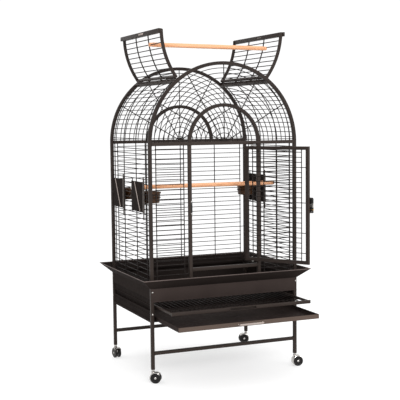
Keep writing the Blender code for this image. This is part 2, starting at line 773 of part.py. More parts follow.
def caster_body():
    """Web between the wheels, drawn in the caster's own frame with the stem at 0 and the wheels trailing along +X."""
    outline = [(-0.010, 0.050), (-0.008, 0.066), (0.010, 0.066), (0.026, 0.054)]
    outline += [(0.029, 0.034), (0.019, 0.020), (0.009, 0.022), (-0.005, 0.035)]
    return prism(outline, -0.006, 0.006, "Y")


def wheel_profile():
    near, far, rim = 0.0068, 0.0190, WHEEL_R
    right = [(0.004, near), (rim - 0.002, near), (rim, near + 0.002), (rim, far - 0.003), (rim - 0.004, far), (0, far)]
    left = [(radius, -height) for radius, height in reversed(right)]
    return left + right


def main():
    clear_scene()
    make_hoops()
    make_rails()
    make_door_posts()
    make_base_frame()
    make_side_meshes()
    make_end_meshes()
    make_fan_meshes()
    make_vault_meshes()
    make_roof_bars()
    make_flaps()
    make_top_perch()
    make_inner_perch()
    make_door()
    make_door_hinges()
    make_door_lock()
    make_feeders()
    make_seed_guards()
    make_cabinet()
    make_grate()
    make_tray()
    make_casters()


main()
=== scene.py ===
import json
import math

import bmesh
import bpy
from mathutils import Matrix, Vector


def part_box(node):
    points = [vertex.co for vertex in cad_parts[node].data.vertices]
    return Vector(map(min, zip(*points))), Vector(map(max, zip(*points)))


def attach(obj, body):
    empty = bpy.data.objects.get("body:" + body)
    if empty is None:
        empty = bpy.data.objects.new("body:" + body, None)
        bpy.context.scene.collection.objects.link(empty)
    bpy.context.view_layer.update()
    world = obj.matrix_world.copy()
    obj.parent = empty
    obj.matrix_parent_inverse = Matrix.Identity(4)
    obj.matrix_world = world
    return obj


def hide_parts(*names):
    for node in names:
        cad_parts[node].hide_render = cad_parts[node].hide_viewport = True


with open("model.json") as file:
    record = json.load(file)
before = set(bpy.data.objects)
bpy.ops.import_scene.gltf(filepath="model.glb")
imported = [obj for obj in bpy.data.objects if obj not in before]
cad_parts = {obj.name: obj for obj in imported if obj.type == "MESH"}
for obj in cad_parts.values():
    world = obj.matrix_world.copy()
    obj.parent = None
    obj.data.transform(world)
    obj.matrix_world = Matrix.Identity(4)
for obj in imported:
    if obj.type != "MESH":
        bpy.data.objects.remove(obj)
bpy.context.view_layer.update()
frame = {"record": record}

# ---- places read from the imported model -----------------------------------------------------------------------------
TUBE = 0.019  # square tube of the frame
FACE = TUBE / 2


def corners(node):
    low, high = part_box(node)
    return Vector(low), Vector(high)


def box_middle(node):
    low, high = corners(node)
    return (low + high) / 2


FRONT_Y = box_middle("front_hoop").y
CAGE_Y = (FRONT_Y + box_middle("rear_hoop").y) / 2  # pieces are drawn about the cage's middle, then moved by this
HALF_Y = CAGE_Y - FRONT_Y
HALF_X = corners("front_hoop")[1].x - FACE
SPRING_Z = box_middle("front_spring_rail").z
LEG_BOTTOM = corners("front_hoop")[0].z
ARCH_R = HALF_X
INNER_R = box_middle("door_post_right").x
SILL_Z = box_middle("door_sill").z
CROSSBAR_Z = box_middle("front_lower_crossbar").z
BASE_Z = box_middle("base_frame").z
JOINTS = {joint["name"]: joint for joint in frame["record"]["behaviour"]["joints"]}
SIDES = (("left", -1), ("right", 1))
ENDS = (("front", -1), ("rear", 1))

# ---- sizes in metres -----------------------------------------------------------------------------------------------
CLEAR = 0.0003  # between faces that nearly touch
WELD = 0.001  # how far a wire runs into the tube that holds it
SHEET = 0.0014  # thickness of sheet steel
WIRE = 0.0023  # radius of the cross wires
UPRIGHT = 0.0028  # radius of the upright wires
LAYER = WIRE * 1.75  # cross wires lie on the uprights and are welded where they meet
ROW_PITCH = 0.02785
ROWS = [SPRING_Z - ROW_PITCH * (28 - k) for k in range(1, 28)]
REAR_ROWS = [z + 0.0022 for z in ROWS]  # the rear wall's rows sit a little higher
GRATE_PITCH = 0.0278
PERCH_LEAN = 0.7  # degrees out of level
DOOR_OPEN = 125  # degrees from shut to where the door rests
LOCK_X = -0.1975  # of the turning knob, door shut
FEEDER_Z = (0.938, 1.103)
FEEDER_WIDTH = 0.190
FEEDERS = {"left_rear": (-1, 0.308), "left_front": (-1, -0.036), "right_rear": (1, 0.255)}  # side, rear edge
FLAP_ANGLE = math.radians(38.4)  # from the top of the arch to the flap's lower edge
FLAP_AXIS_R = 0.4545  # hinge axis from the arch's middle
FLAP_STRIPS = (-0.101, 0.101)  # lengthwise bars of a flap, each with a hook
FLAP_OPEN = {side: JOINTS[f"{label}_flap_hinge"]["range_deg"][1] for label, side in SIDES}


# ---- mesh tools ----------------------------------------------------------------------------------------------------
def circle(radius, sides=8):
    turns = [2 * math.pi * (k + 0.5) / sides for k in range(sides)]
    return [(radius * math.cos(a), radius * math.sin(a)) for a in turns]


def rounded(width, height, corner, steps=3):
    """Closed section of a square tube with round corners, width across the sweep and height along its up."""
    points = []
    for cx, cy, start in ((1, 1, 0), (-1, 1, 90), (-1, -1, 180), (1, -1, 270)):
        for k in range(steps + 1):
            a = math.radians(start + 90 * k / steps)
            across, along = cx * (width / 2 - corner), cy * (height / 2 - corner)
            points.append((across + corner * math.cos(a), along + corner * math.sin(a)))
    return points


def sweep(bm, path, section, up, closed=False):
    """Carries a section along a flat path. up is the normal of the path's plane."""
    path = [Vector(p) for p in path]
    up = Vector(up).normalized()
    count = len(path)
    rings = []
    for i, point in enumerate(path):
        before = point - path[i - 1] if closed or i else None
        after = path[(i + 1) % count] - point if closed or i < count - 1 else None
        ahead = Vector()
        for stretch in (before, after):
            if stretch is not None:
                ahead += stretch.normalized()
        ahead.normalize()
        reach = (after if after is not None else before).normalized()
        wider = 1 / max(ahead.dot(reach), 0.35)  # keeps the tube's width round a corner
        side = up.cross(ahead).normalized()
        rings.append([bm.verts.new(point + side * (a * wider) + up * b) for a, b in section])
    pairs = list(zip(rings, rings[1:]))
    if closed:
        pairs.append((rings[-1], rings[0]))
    size = len(section)
    for one, two in pairs:
        for k in range(size):
            n = (k + 1) % size
            bm.faces.new((one[k], one[n], two[n], two[k]))
    if not closed:
        bm.faces.new(rings[0][::-1])
        bm.faces.new(rings[-1])


def rod(bm, start, end, radius=WIRE, sides=8):
    start, end = Vector(start), Vector(end)
    ahead = (end - start).normalized()
    up = Vector((0, 0, 1)) if abs(ahead.z) < 0.9 else Vector((1, 0, 0))
    up = (up - ahead * up.dot(ahead)).normalized()
    sweep(bm, (start, end), circle(radius, sides), up)


def turned(bm, profile, segments, matrix):
    """Turns a profile of (radius, height) points about Z, then lays it out by the matrix."""
    rings = []
    for radius, height in profile:
        if radius < 1e-7:
            rings.append([bm.verts.new(matrix @ Vector((0, 0, height)))])
            continue
        ring = []
        for k in range(segments):
            a = 2 * math.pi * k / segments
            ring.append(bm.verts.new(matrix @ Vector((radius * math.cos(a), radius * math.sin(a), height))))
        rings.append(ring)
    open_ends = profile[0][0] < 1e-7
    pairs = list(zip(rings, rings[1:])) + ([] if open_ends else [(rings[-1], rings[0])])
    for lower, upper in pairs:
        for k in range(segments):
            n = (k + 1) % segments
            loop = [lower[k % len(lower)], lower[n % len(lower)], upper[n % len(upper)], upper[k % len(upper)]]
            unique = list(dict.fromkeys(loop))
            if len(unique) > 2:
                bm.faces.new(unique)


def extrude(bm, outline, start, end, along):
    """Extrudes a closed outline: along X it is (y, z), along Y (x, z), along Z (x, y)."""
    layouts = {"X": lambda a, b, s: (s, a, b), "Y": lambda a, b, s: (a, s, b), "Z": lambda a, b, s: (a, b, s)}
    put = layouts[along]
    near = [bm.verts.new(put(a, b, start)) for a, b in outline]
    far = [bm.verts.new(put(a, b, end)) for a, b in outline]
    bm.faces.new(near)
    bm.faces.new(far[::-1])
    for i in range(len(outline)):
        j = (i + 1) % len(outline)
        bm.faces.new((near[i], far[i], far[j], near[j]))


def facing(point, axis, sign):
    """Lays a turned profile out at a point, its height along X or Y."""
    turn = Matrix.Rotation(sign * math.pi / 2, 4, "Y") if axis == "X" else Matrix.Rotation(-sign * math.pi / 2, 4, "X")
    return Matrix.Translation(point) @ turn


def turned_about(point, degrees, axis):
    """Rotation about an axis through a point."""
    centre = Matrix.Translation(point)
    return centre @ Matrix.Rotation(math.radians(degrees), 4, axis) @ centre.inverted()


def merge(bm, part):
    """Adds a finished part to a piece's mesh and frees it."""
    mesh = bpy.data.meshes.new("part")
    part.to_mesh(mesh)
    part.free()
    bm.from_mesh(mesh)
    bpy.data.meshes.remove(mesh)


def soft_box(bm, low, high, radius=0.001, steps=2):
    """Block between two opposite corners, with all its edges rounded."""
    size = [abs(b - a) for a, b in zip(low, high)]
    middle = [(a + b) / 2 for a, b in zip(low, high)]
    part = bmesh.new()
    bmesh.ops.create_cube(part, size=1.0, matrix=Matrix.Translation(middle) @ Matrix.Diagonal((*size, 1.0)))
    bmesh.ops.bevel(part, geom=part.edges, offset=radius, segments=steps, profile=0.5, affect="EDGES")
    merge(bm, part)


def arc(radius, first, last, steps, y=0.0, height=SPRING_Z):
    """Arch points in the plane y, angles counted from straight up towards +X."""
    turns = [first + (last - first) * k / steps for k in range(steps + 1)]
    return [(radius * math.sin(a), y, height + radius * math.cos(a)) for a in turns]


def piece(name, bm, mat, body="cage", replaces=(), slot=None, angle=32, turn=None):
    """Makes a shown piece from a bmesh in cage coordinates. turn carries it from the shut to the rest position."""
    if turn is not None:
        bmesh.ops.transform(bm, matrix=turn, verts=bm.verts)
    bmesh.ops.translate(bm, verts=bm.verts, vec=(0, CAGE_Y, 0))
    bmesh.ops.recalc_face_normals(bm, faces=bm.faces)
    mesh = bpy.data.meshes.new(name)
    bm.to_mesh(mesh)
    bm.free()
    mesh.materials.append(mat)
    mesh.shade_smooth()
    mesh.set_sharp_from_angle(angle=math.radians(angle))
    obj = bpy.data.objects.new(name, mesh)
    bpy.context.scene.collection.objects.link(obj)
    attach(obj, body)
    if replaces:
        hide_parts(*replaces)
    return obj


# ---- materials -----------------------------------------------------------------------------------------------------
def start_material(name):
    mat = bpy.data.materials.new(name)
    mat.use_nodes = True
    nodes = mat.node_tree.nodes
    return mat, nodes, mat.node_tree.links, nodes["Principled BSDF"]


def add_node(nodes, kind, **values):
    node = nodes.new(kind)
    for key, value in values.items():
        if key in node.inputs:
            node.inputs[key].default_value = value
        else:
            setattr(node, key, value)
    return node


def coordinates(nodes, links, scale=(1, 1, 1)):
    place = add_node(nodes, "ShaderNodeTexCoord")
    mapping = add_node(nodes, "ShaderNodeMapping", Scale=scale)
    links.new(place.outputs["Object"], mapping.inputs["Vector"])
    return mapping.outputs["Vector"]


def noise(nodes, links, vector, scale, detail=3.0, rough=0.5, distortion=0.0):
    node = add_node(nodes, "ShaderNodeTexNoise", Scale=scale, Detail=detail, Roughness=rough, Distortion=distortion)
    links.new(vector, node.inputs["Vector"])
    return node.outputs["Fac"]


def ramp(nodes, links, value, stops):
    node = nodes.new("ShaderNodeValToRGB")
    elements = node.color_ramp.elements
    while len(elements) < len(stops):
        elements.new(0.5)
    for element, (at, colour) in zip(elements, stops):
        element.position = at
        element.color = (*colour, 1)
    links.new(value, node.inputs["Fac"])
    return node.outputs["Color"]


def spread(nodes, links, value, low, high):
    """Stretches the middle of a noise over a range."""
    node = add_node(nodes, "ShaderNodeMapRange")
    node.inputs["From Min"].default_value = 0.3
    node.inputs["From Max"].default_value = 0.7
    node.inputs["To Min"].default_value = low
    node.inputs["To Max"].default_value = high
    links.new(value, node.inputs["Value"])
    return node.outputs["Result"]


def bump(nodes, links, height, strength, distance, normal=None):
    node = add_node(nodes, "ShaderNodeBump", Strength=strength, Distance=distance)
    links.new(height, node.inputs["Height"])
    if normal is not None:
        links.new(normal, node.inputs["Normal"])
    return node.outputs["Normal"]


def mixed(nodes, links, first, second, amount, blend="MIX"):
    """Mixes two colours; each value is a node's output or plain."""
    node = add_node(nodes, "ShaderNodeMix", data_type="RGBA", blend_type=blend)
    colours = [socket for socket in node.inputs if socket.type == "RGBA"]
    for socket, value in ((node.inputs[0], amount), (colours[0], first), (colours[1], second)):
        if isinstance(value, bpy.types.NodeSocket):
            links.new(value, socket)
        else:
            socket.default_value = value
    return next(socket for socket in node.outputs if socket.type == "RGBA")


def powder_coat(name, dark, light, rough, hammer, depth, specular):
    """Baked powder coat: fine hammered dimples, cloudy tone, a little polish on the edges."""
    mat, nodes, links, shader = start_material(name)
    vector = coordinates(nodes, links)
    tone = ramp(nodes, links, noise(nodes, links, vector, 7, 4, 0.6), ((0.3, dark), (0.7, light)))
    geometry = nodes.new("ShaderNodeNewGeometry")
    worn = ramp(nodes, links, geometry.outputs["Pointiness"], ((0.5, (0, 0, 0)), (0.62, (1, 1, 1))))
    wear = add_node(nodes, "ShaderNodeMath", operation="MULTIPLY")
    wear.inputs[1].default_value = 0.5
    links.new(worn, wear.inputs[0])
    polished = (*[min(1.0, c * 1.9) for c in light], 1)
    links.new(mixed(nodes, links, tone, polished, wear.outputs[0]), shader.inputs["Base Color"])
    links.new(spread(nodes, links, noise(nodes, links, vector, 60, 2), *rough), shader.inputs["Roughness"])
    dimples = add_node(nodes, "ShaderNodeTexVoronoi", feature="SMOOTH_F1", Scale=hammer)
    links.new(vector, dimples.inputs["Vector"])
    first = bump(nodes, links, dimples.outputs["Distance"], depth, 0.0006)
    second = bump(nodes, links, noise(nodes, links, vector, 120, 3), 0.12, 0.0010, first)
    links.new(second, shader.inputs["Normal"])
    shader.inputs["Specular IOR Level"].default_value = specular
    return mat


def pine(name):
    """Pale unvarnished pine dowel, grain along X."""
    mat, nodes, links, shader = start_material(name)
    rings = coordinates(nodes, links, (1.3, 34, 34))
    fibre = coordinates(nodes, links, (14, 620, 620))
    figure = noise(nodes, links, rings, 1.6, 3, 0.55, 1.4)
    wood = ((0.30, (0.47, 0.190, 0.080)), (0.46, (0.69, 0.345, 0.180)))
    wood += ((0.60, (0.78, 0.415, 0.235)), (0.75, (0.63, 0.295, 0.150)))
    tone = ramp(nodes, links, figure, wood)
    fine = noise(nodes, links, fibre, 1.0, 4, 0.6)
    shade = ramp(nodes, links, fine, ((0.30, (0.80, 0.78, 0.76)), (0.62, (1, 1, 1))))
    links.new(mixed(nodes, links, tone, shade, 1.0, "MULTIPLY"), shader.inputs["Base Color"])
    links.new(spread(nodes, links, fine, 0.55, 0.75), shader.inputs["Roughness"])
    links.new(bump(nodes, links, fine, 0.25, 0.0005), shader.inputs["Normal"])
    shader.inputs["Specular IOR Level"].default_value = 0.3
    return mat


def bright_metal(name, colour, rough=(0.08, 0.2), scratch=(30, 900, 900)):
    """Bare or plated metal with fine scratches."""
    mat, nodes, links, shader = start_material(name)
    vector = coordinates(nodes, links, scratch)
    lines = noise(nodes, links, vector, 1.0, 3)
    tone = ramp(nodes, links, lines, ((0.25, tuple(c * 0.86 for c in colour)), (0.7, colour)))
    links.new(tone, shader.inputs["Base Color"])
    links.new(spread(nodes, links, lines, *rough), shader.inputs["Roughness"])
    links.new(bump(nodes, links, lines, 0.06, 0.0002), shader.inputs["Normal"])
    shader.inputs["Metallic"].default_value = 1.0
    return mat


def plastic(name, dark, light, rough, grain, depth, specular):
    """Moulded plastic with a fine skin and a faint drift in tone."""
    mat, nodes, links, shader = start_material(name)
    vector = coordinates(nodes, links)
    tone = ramp(nodes, links, noise(nodes, links, vector, 22, 3), ((0.3, dark), (0.7, light)))
    links.new(tone, shader.inputs["Base Color"])
    links.new(spread(nodes, links, noise(nodes, links, vector, 90, 3), *rough), shader.inputs["Roughness"])
    links.new(bump(nodes, links, noise(nodes, links, vector, grain, 3), depth, 0.0003), shader.inputs["Normal"])
    shader.inputs["Specular IOR Level"].default_value = specular
    return mat


# Each coat: darkest and lightest tone, roughness, dimples a metre, their depth, specular level.
TUBE_COAT = powder_coat(
    "tube_powder_coat", (0.0135, 0.0095, 0.0080), (0.0225, 0.0165, 0.0139), (0.36, 0.52), 420, 0.35, 0.10
)
SHEET_COAT = powder_coat(
    "sheet_powder_coat", (0.0170, 0.0121, 0.0109), (0.0270, 0.0200, 0.0180), (0.55, 0.70), 520, 0.22, 0.03
)
# Darker copy of the sheet coat: painted shade for the pieces that sit in shadow or face away from the lamps.
PAINTED_SHADE_COAT = powder_coat(
    "painted_shade_powder_coat", (0.0085, 0.0064, 0.0057), (0.0140, 0.0107, 0.0096), (0.60, 0.75), 520, 0.22, 0.01
)
LIP_COAT = powder_coat(
    "tray_lip_coat", (0.0400, 0.0285, 0.0230), (0.0570, 0.0415, 0.0340), (0.50, 0.65), 520, 0.20, 0.05
)
# Lighter coat for the guards' hems: painted highlight along the lip's edge.
PAINTED_HIGHLIGHT_HEM_COAT = powder_coat(
    "painted_highlight_hem_coat", (0.0560, 0.0430, 0.0390), (0.0820, 0.0640, 0.0590), (0.45, 0.60), 520, 0.20, 0.08
)
# Powder coat of the wires, darker than the tubes' coat by painted shade.
WIRE_COAT = powder_coat(
    "wire_coat_with_painted_shade", (0.0070, 0.0055, 0.0050), (0.0110, 0.0085, 0.0078), (0.40, 0.55), 900, 0.12, 0.08
)
HINGE_STEEL = bright_metal("hinge_steel", (0.080, 0.070, 0.064), (0.34, 0.50), (300, 300, 300))
PULL_STEEL = bright_metal("pull_steel", (0.40, 0.34, 0.31), (0.25, 0.42), (300, 300, 300))
PINE = pine("pine_dowel")
CHROME = bright_metal("chrome_plate", (0.52, 0.50, 0.48))
ZINC = bright_metal("zinc_plate", (0.60, 0.58, 0.55), (0.22, 0.38), (500, 500, 500))
BRASS = bright_metal("brass", (0.72, 0.46, 0.17), (0.2, 0.36), (500, 500, 500))
CUP = plastic("brown_cup_plastic", (0.034, 0.0140, 0.0045), (0.054, 0.0230, 0.0080), (0.26, 0.40), 700, 0.1, 0.22)
BLACK = plastic("black_plastic", (0.0080, 0.0072, 0.0070), (0.0130, 0.0118, 0.0115), (0.30, 0.44), 700, 0.1, 0.25)
SATIN = plastic("satin_silver", (0.42, 0.40, 0.38), (0.52, 0.50, 0.48), (0.30, 0.42), 700, 0.1, 0.4)
NYLON = plastic("caster_nylon", (0.0070, 0.0062, 0.0060), (0.0120, 0.0105, 0.0100), (0.30, 0.48), 420, 0.16, 0.16)

SQUARE = rounded(TUBE, TUBE, 0.0024)


# ---- frame ---------------------------------------------------------------------------------------------------------
def weld_ring(bm, centre, normal):
    """Bead of weld round the end of a square tube."""
    normal = Vector(normal)
    other = Vector((0, 0, 1)) if abs(normal.z) < 0.5 else Vector((0, 1, 0))
    across = normal.cross(other)
    path = []
    for k, (a, b) in enumerate(rounded(TUBE + 0.0008, TUBE + 0.0008, 0.003)):
        lump = 1 + 0.02 * math.sin(k * 2.7)
        path.append(Vector(centre) + across * (a * lump) + other * (b * lump))
    sweep(bm, path, circle(0.0013, 6), normal, closed=True)


def cross_tube(name, node, half, y, z):
    """Square tube along X with a weld at both ends."""
    bm = bmesh.new()
    sweep(bm, ((-half, y, z), (half, y, z)), SQUARE, (0, 1, 0))
    for x in (-half, half):
        weld_ring(bm, (x, y, z), (1, 0, 0))
    piece(name, bm, TUBE_COAT, replaces=(node,), slot="frame_tube")


def make_frame():
    inner, foot = HALF_X - FACE, SPRING_Z + FACE
    lean = math.acos((foot - SPRING_Z) / INNER_R)
    for end, side in ENDS:
        y = side * HALF_Y
        path = [(-HALF_X, y, LEG_BOTTOM)] + arc(ARCH_R, -math.pi / 2, math.pi / 2, 72, y) + [(HALF_X, y, LEG_BOTTOM)]
        bm = bmesh.new()
        sweep(bm, path, SQUARE, (0, 1, 0))
        piece(f"{end}_hoop_tube", bm, TUBE_COAT, replaces=(f"{end}_hoop",), slot="frame_tube")
        cross_tube(f"{end}_spring_rail_tube", f"{end}_spring_rail", inner, y, SPRING_Z)
        cross_tube(f"{end}_crossbar_tube", f"{end}_lower_crossbar", inner, y, CROSSBAR_Z)
        bm = bmesh.new()
        sweep(bm, arc(INNER_R, -lean, lean, 56, y), SQUARE, (0, 1, 0))
        for x in (-INNER_R, INNER_R):
            weld_ring(bm, (x, y, foot + 0.0004), (0, 0, 1))
        piece(f"{end}_inner_arch_tube", bm, TUBE_COAT, replaces=(f"{end}_inner_arch",), slot="frame_tube")
    low, head = corners("door_post_left")[0].z, SPRING_Z - FACE
    for label, side in SIDES:
        bm = bmesh.new()
        x = side * INNER_R
        sweep(bm, ((x, -HALF_Y, low), (x, -HALF_Y, head)), SQUARE, (0, 1, 0))
        weld_ring(bm, (x, -HALF_Y, head), (0, 0, 1))
        piece(f"door_post_{label}_tube", bm, TUBE_COAT, replaces=(f"door_post_{label}",), slot="frame_tube")
    cross_tube("door_sill_tube", "door_sill", INNER_R - FACE, -HALF_Y, SILL_Z)
    bm = bmesh.new()
    x, y = HALF_X - 2 * FACE - CLEAR, HALF_Y - 2 * FACE - CLEAR
    ring = [(-x, -y, BASE_Z), (x, -y, BASE_Z), (x, y, BASE_Z), (-x, y, BASE_Z)]
    sweep(bm, ring, rounded(TUBE, 0.014, 0.002), (0, 0, 1), closed=True)
    # The base frame takes the painted-shade coat: painted shade, darker than the tubes above it.
    piece("base_frame_tube", bm, PAINTED_SHADE_COAT, replaces=("base_frame",), slot="frame_tube")


# ---- wire work -----------------------------------------------------------------------------------------------------
def spans(low, high, gaps):
    """The stretches of low..high left between the gaps."""
    parts = [(low, high)]
    for start, end in gaps:
        kept = []
        for a, b in parts:
            if end <= a or start >= b:
                kept.append((a, b))
                continue
            if start > a:
                kept.append((a, start))
            if end < b:
                kept.append((end, b))
        parts = kept
    return parts


def make_side_wires():
    uprights = (-0.273, -0.104, 0.104, 0.273)
    reach = HALF_Y - FACE + WELD
    top = FLAP_ANGLE + TUBE / ARCH_R
    foot = BASE_Z + 0.006
    for label, side in SIDES:
        windows = [(rear - FEEDER_WIDTH, rear) for hand, rear in FEEDERS.values() if hand == side]
        bm = bmesh.new()
        for y in uprights:
            crossed = [FEEDER_Z] if any(a + 0.001 < y < b - 0.001 for a, b in windows) else []
            for low, high in spans(foot, SPRING_Z, crossed):
                path = [(side * HALF_X, y, low), (side * HALF_X, y, high)]
                if abs(high - SPRING_Z) < 1e-6:
                    path = path[:1] + arc(ARCH_R, side * math.pi / 2, side * top, 26, y)
                sweep(bm, path, circle(UPRIGHT), (0, 1, 0))
        for z in ROWS:
            inside = FEEDER_Z[0] + 0.001 < z < FEEDER_Z[1] - 0.001
            for start, end in spans(-reach, reach, windows if inside else ()):
                x = side * (HALF_X - LAYER)
                rod(bm, (x, start, z), (x, end, z))
        for a, b in windows:
            for y in (a, b):
                if all(abs(y - other) > 0.002 for other in uprights):
                    rod(bm, (side * HALF_X, y, ROWS[13] - 0.002), (side * HALF_X, y, ROWS[20] + 0.002), UPRIGHT)
        for k in range(1, 13):
            a = math.pi / 2 - 0.0281 * k / ARCH_R
            r = ARCH_R - LAYER
            x, z = side * r * math.sin(a), SPRING_Z + r * math.cos(a)
            rod(bm, (x, -reach, z), (x, reach, z))
        piece(f"{label}_wall_wires", bm, WIRE_COAT, replaces=(f"{label}_side_mesh", f"{label}_vault_mesh"), slot="wire")


def flat_wires(bm, y, inward, uprights, left, right, rows, low, high):
    """Cross wires on uprights in an upright plane; inward is the side that the cross wires lie on."""
    for x in uprights:
        rod(bm, (x, y, low), (x, y, high), UPRIGHT)
    for z in rows:
        rod(bm, (left, y + inward * LAYER, z), (right, y + inward * LAYER, z))


def make_end_wires():
    """Flat panels at both ends; a few longer wires hold each one between the tubes."""
    foot, head = BASE_Z + 0.004, SPRING_Z - FACE + WELD
    outer = HALF_X - FACE + WELD
    bm = bmesh.new()
    flat_wires(bm, HALF_Y, -1, (-0.409, -0.232, 0.0, 0.232, 0.409), -0.4115, 0.4115, REAR_ROWS, foot, head)
    for side in (-1, 1):
        for k in (1, 7, 17, 25):
            z = REAR_ROWS[k]
            rod(bm, (side * 0.406, HALF_Y - LAYER, z), (side * outer, HALF_Y - LAYER, z))
    piece("rear_wall_wires", bm, WIRE_COAT, replaces=("rear_mesh",), slot="wire")
    y = -HALF_Y + LAYER
    for label, side in SIDES:
        bm = bmesh.new()
        near, far = sorted((side * 0.247, side * 0.411))
        flat_wires(bm, -HALF_Y, 1, (near, far), near - 0.0025, far + 0.0025, ROWS, foot, head)
        for k in (1, 8, 17, 25):
            z = ROWS[k]
            rod(bm, (side * 0.409, y, z), (side * outer, y, z))
            rod(bm, (side * 0.249, y, z), (side * (INNER_R + FACE - WELD), y, z))
        piece(f"front_strip_{label}_wires", bm, WIRE_COAT, replaces=(f"front_mesh_{label}",), slot="wire")


def make_fans():
    """Sunbursts in the arches: rings at the wire pitch, spokes every 30 degrees, a small hub on the rail."""
    foot = SPRING_Z + FACE
    radii = [0.0270 + 0.0292 * k for k in range(6)] + [0.2500 + 0.0279 * k for k in range(7)]
    bays = ((FACE - INNER_R, INNER_R - FACE), (INNER_R + FACE, HALF_X - FACE), (FACE - HALF_X, -INNER_R - FACE))
    hub = [(0.0, -0.004), (0.0125, -0.004), (0.0140, -0.0025), (0.0140, 0.0025), (0.0125, 0.004), (0.0, 0.004)]
    for end, side in ENDS:
        y = side * HALF_Y
        bm = bmesh.new()
        for radius in radii:
            lean = math.acos((foot - WELD - SPRING_Z) / radius)
            steps = 20 + int(radius * 110)
            sweep(bm, arc(radius, -lean, lean, steps, y - side * LAYER / 2), circle(WIRE), (0, 1, 0))
        for k in range(1, 6):
            a = math.radians(30 * k - 90)
            for low, high in ((0.010, INNER_R - FACE + WELD), (INNER_R + FACE - WELD, ARCH_R - FACE + WELD)):
                start = (low * math.sin(a), y + side * LAYER / 2, SPRING_Z + max(FACE - WELD, low * math.cos(a)))
                stop = (high * math.sin(a), y + side * LAYER / 2, SPRING_Z + high * math.cos(a))
                rod(bm, start, stop, UPRIGHT)
        z = foot + 0.0075
        for low, high in bays:
            rod(bm, (low - WELD, y, z), (high + WELD, y, z), 0.0019)
        part = bmesh.new()
        turned(part, hub, 40, facing((0, y, foot - 0.002), "Y", -1))
        whole = part.verts[:] + part.edges[:] + part.faces[:]
        plane = {"plane_co": (0, 0, foot - WELD), "plane_no": (0, 0, -1)}
        found = bmesh.ops.bisect_plane(part, geom=whole, clear_outer=True, **plane)
        edges = [g for g in found["geom_cut"] if isinstance(g, bmesh.types.BMEdge)]
        bmesh.ops.holes_fill(part, edges=edges)
        merge(bm, part)
        piece(f"{end}_fan_wires", bm, WIRE_COAT, replaces=(f"{end}_fan_mesh",), slot="wire")


# ---- opening roof --------------------------------------------------------------------------------------------------
def flap_axis(side):
    return Vector((side * FLAP_AXIS_R * math.sin(FLAP_ANGLE), 0, SPRING_Z + FLAP_AXIS_R * math.cos(FLAP_ANGLE)))


def on_arch(side, along, out=0.0, y=0.0):
    """Point at a distance along the arch from its top, and a distance out from the tube's middle line."""
    a = along / ARCH_R
    return Vector((side * (ARCH_R + out) * math.sin(a), y, SPRING_Z + (ARCH_R + out) * math.cos(a)))


def make_roof():
    near = ARCH_R * FLAP_ANGLE
    half = HALF_Y - FACE
    for label, side in SIDES:
        lean = Matrix.Rotation(side * (near + 0.010) / ARCH_R, 3, "Y")
        bm = bmesh.new()
        middle = on_arch(side, near + 0.010)
        up = lean @ Vector((0, 0, 1))
        sweep(bm, (middle + Vector((0, -half, 0)), middle + Vector((0, half, 0))), rounded(0.018, 0.017, 0.002), up)
        piece(f"{label}_roof_bar_tube", bm, TUBE_COAT, replaces=(f"{label}_roof_bar",), slot="frame_tube")
        hooks = bmesh.new()
        axis = flap_axis(side)
        for y in FLAP_STRIPS:
            ring = []
            for k in range(20):
                a = 2 * math.pi * k / 20
                ring.append(axis + Vector((0.0050 * math.cos(a), y + 0.006, 0.0050 * math.sin(a))))
            sweep(hooks, ring, circle(0.0020), (0, 1, 0), closed=True)
        thick = 0.0032 if side > 0 else 0.0024  # the right one also fills the slit beside its flap
        rod(hooks, axis + Vector((0, -half, 0)), axis + Vector((0, half, 0)), thick, 12)
        piece(f"{label}_flap_hinge_rod", hooks, TUBE_COAT, slot="frame_tube")
        make_flap(label, side)


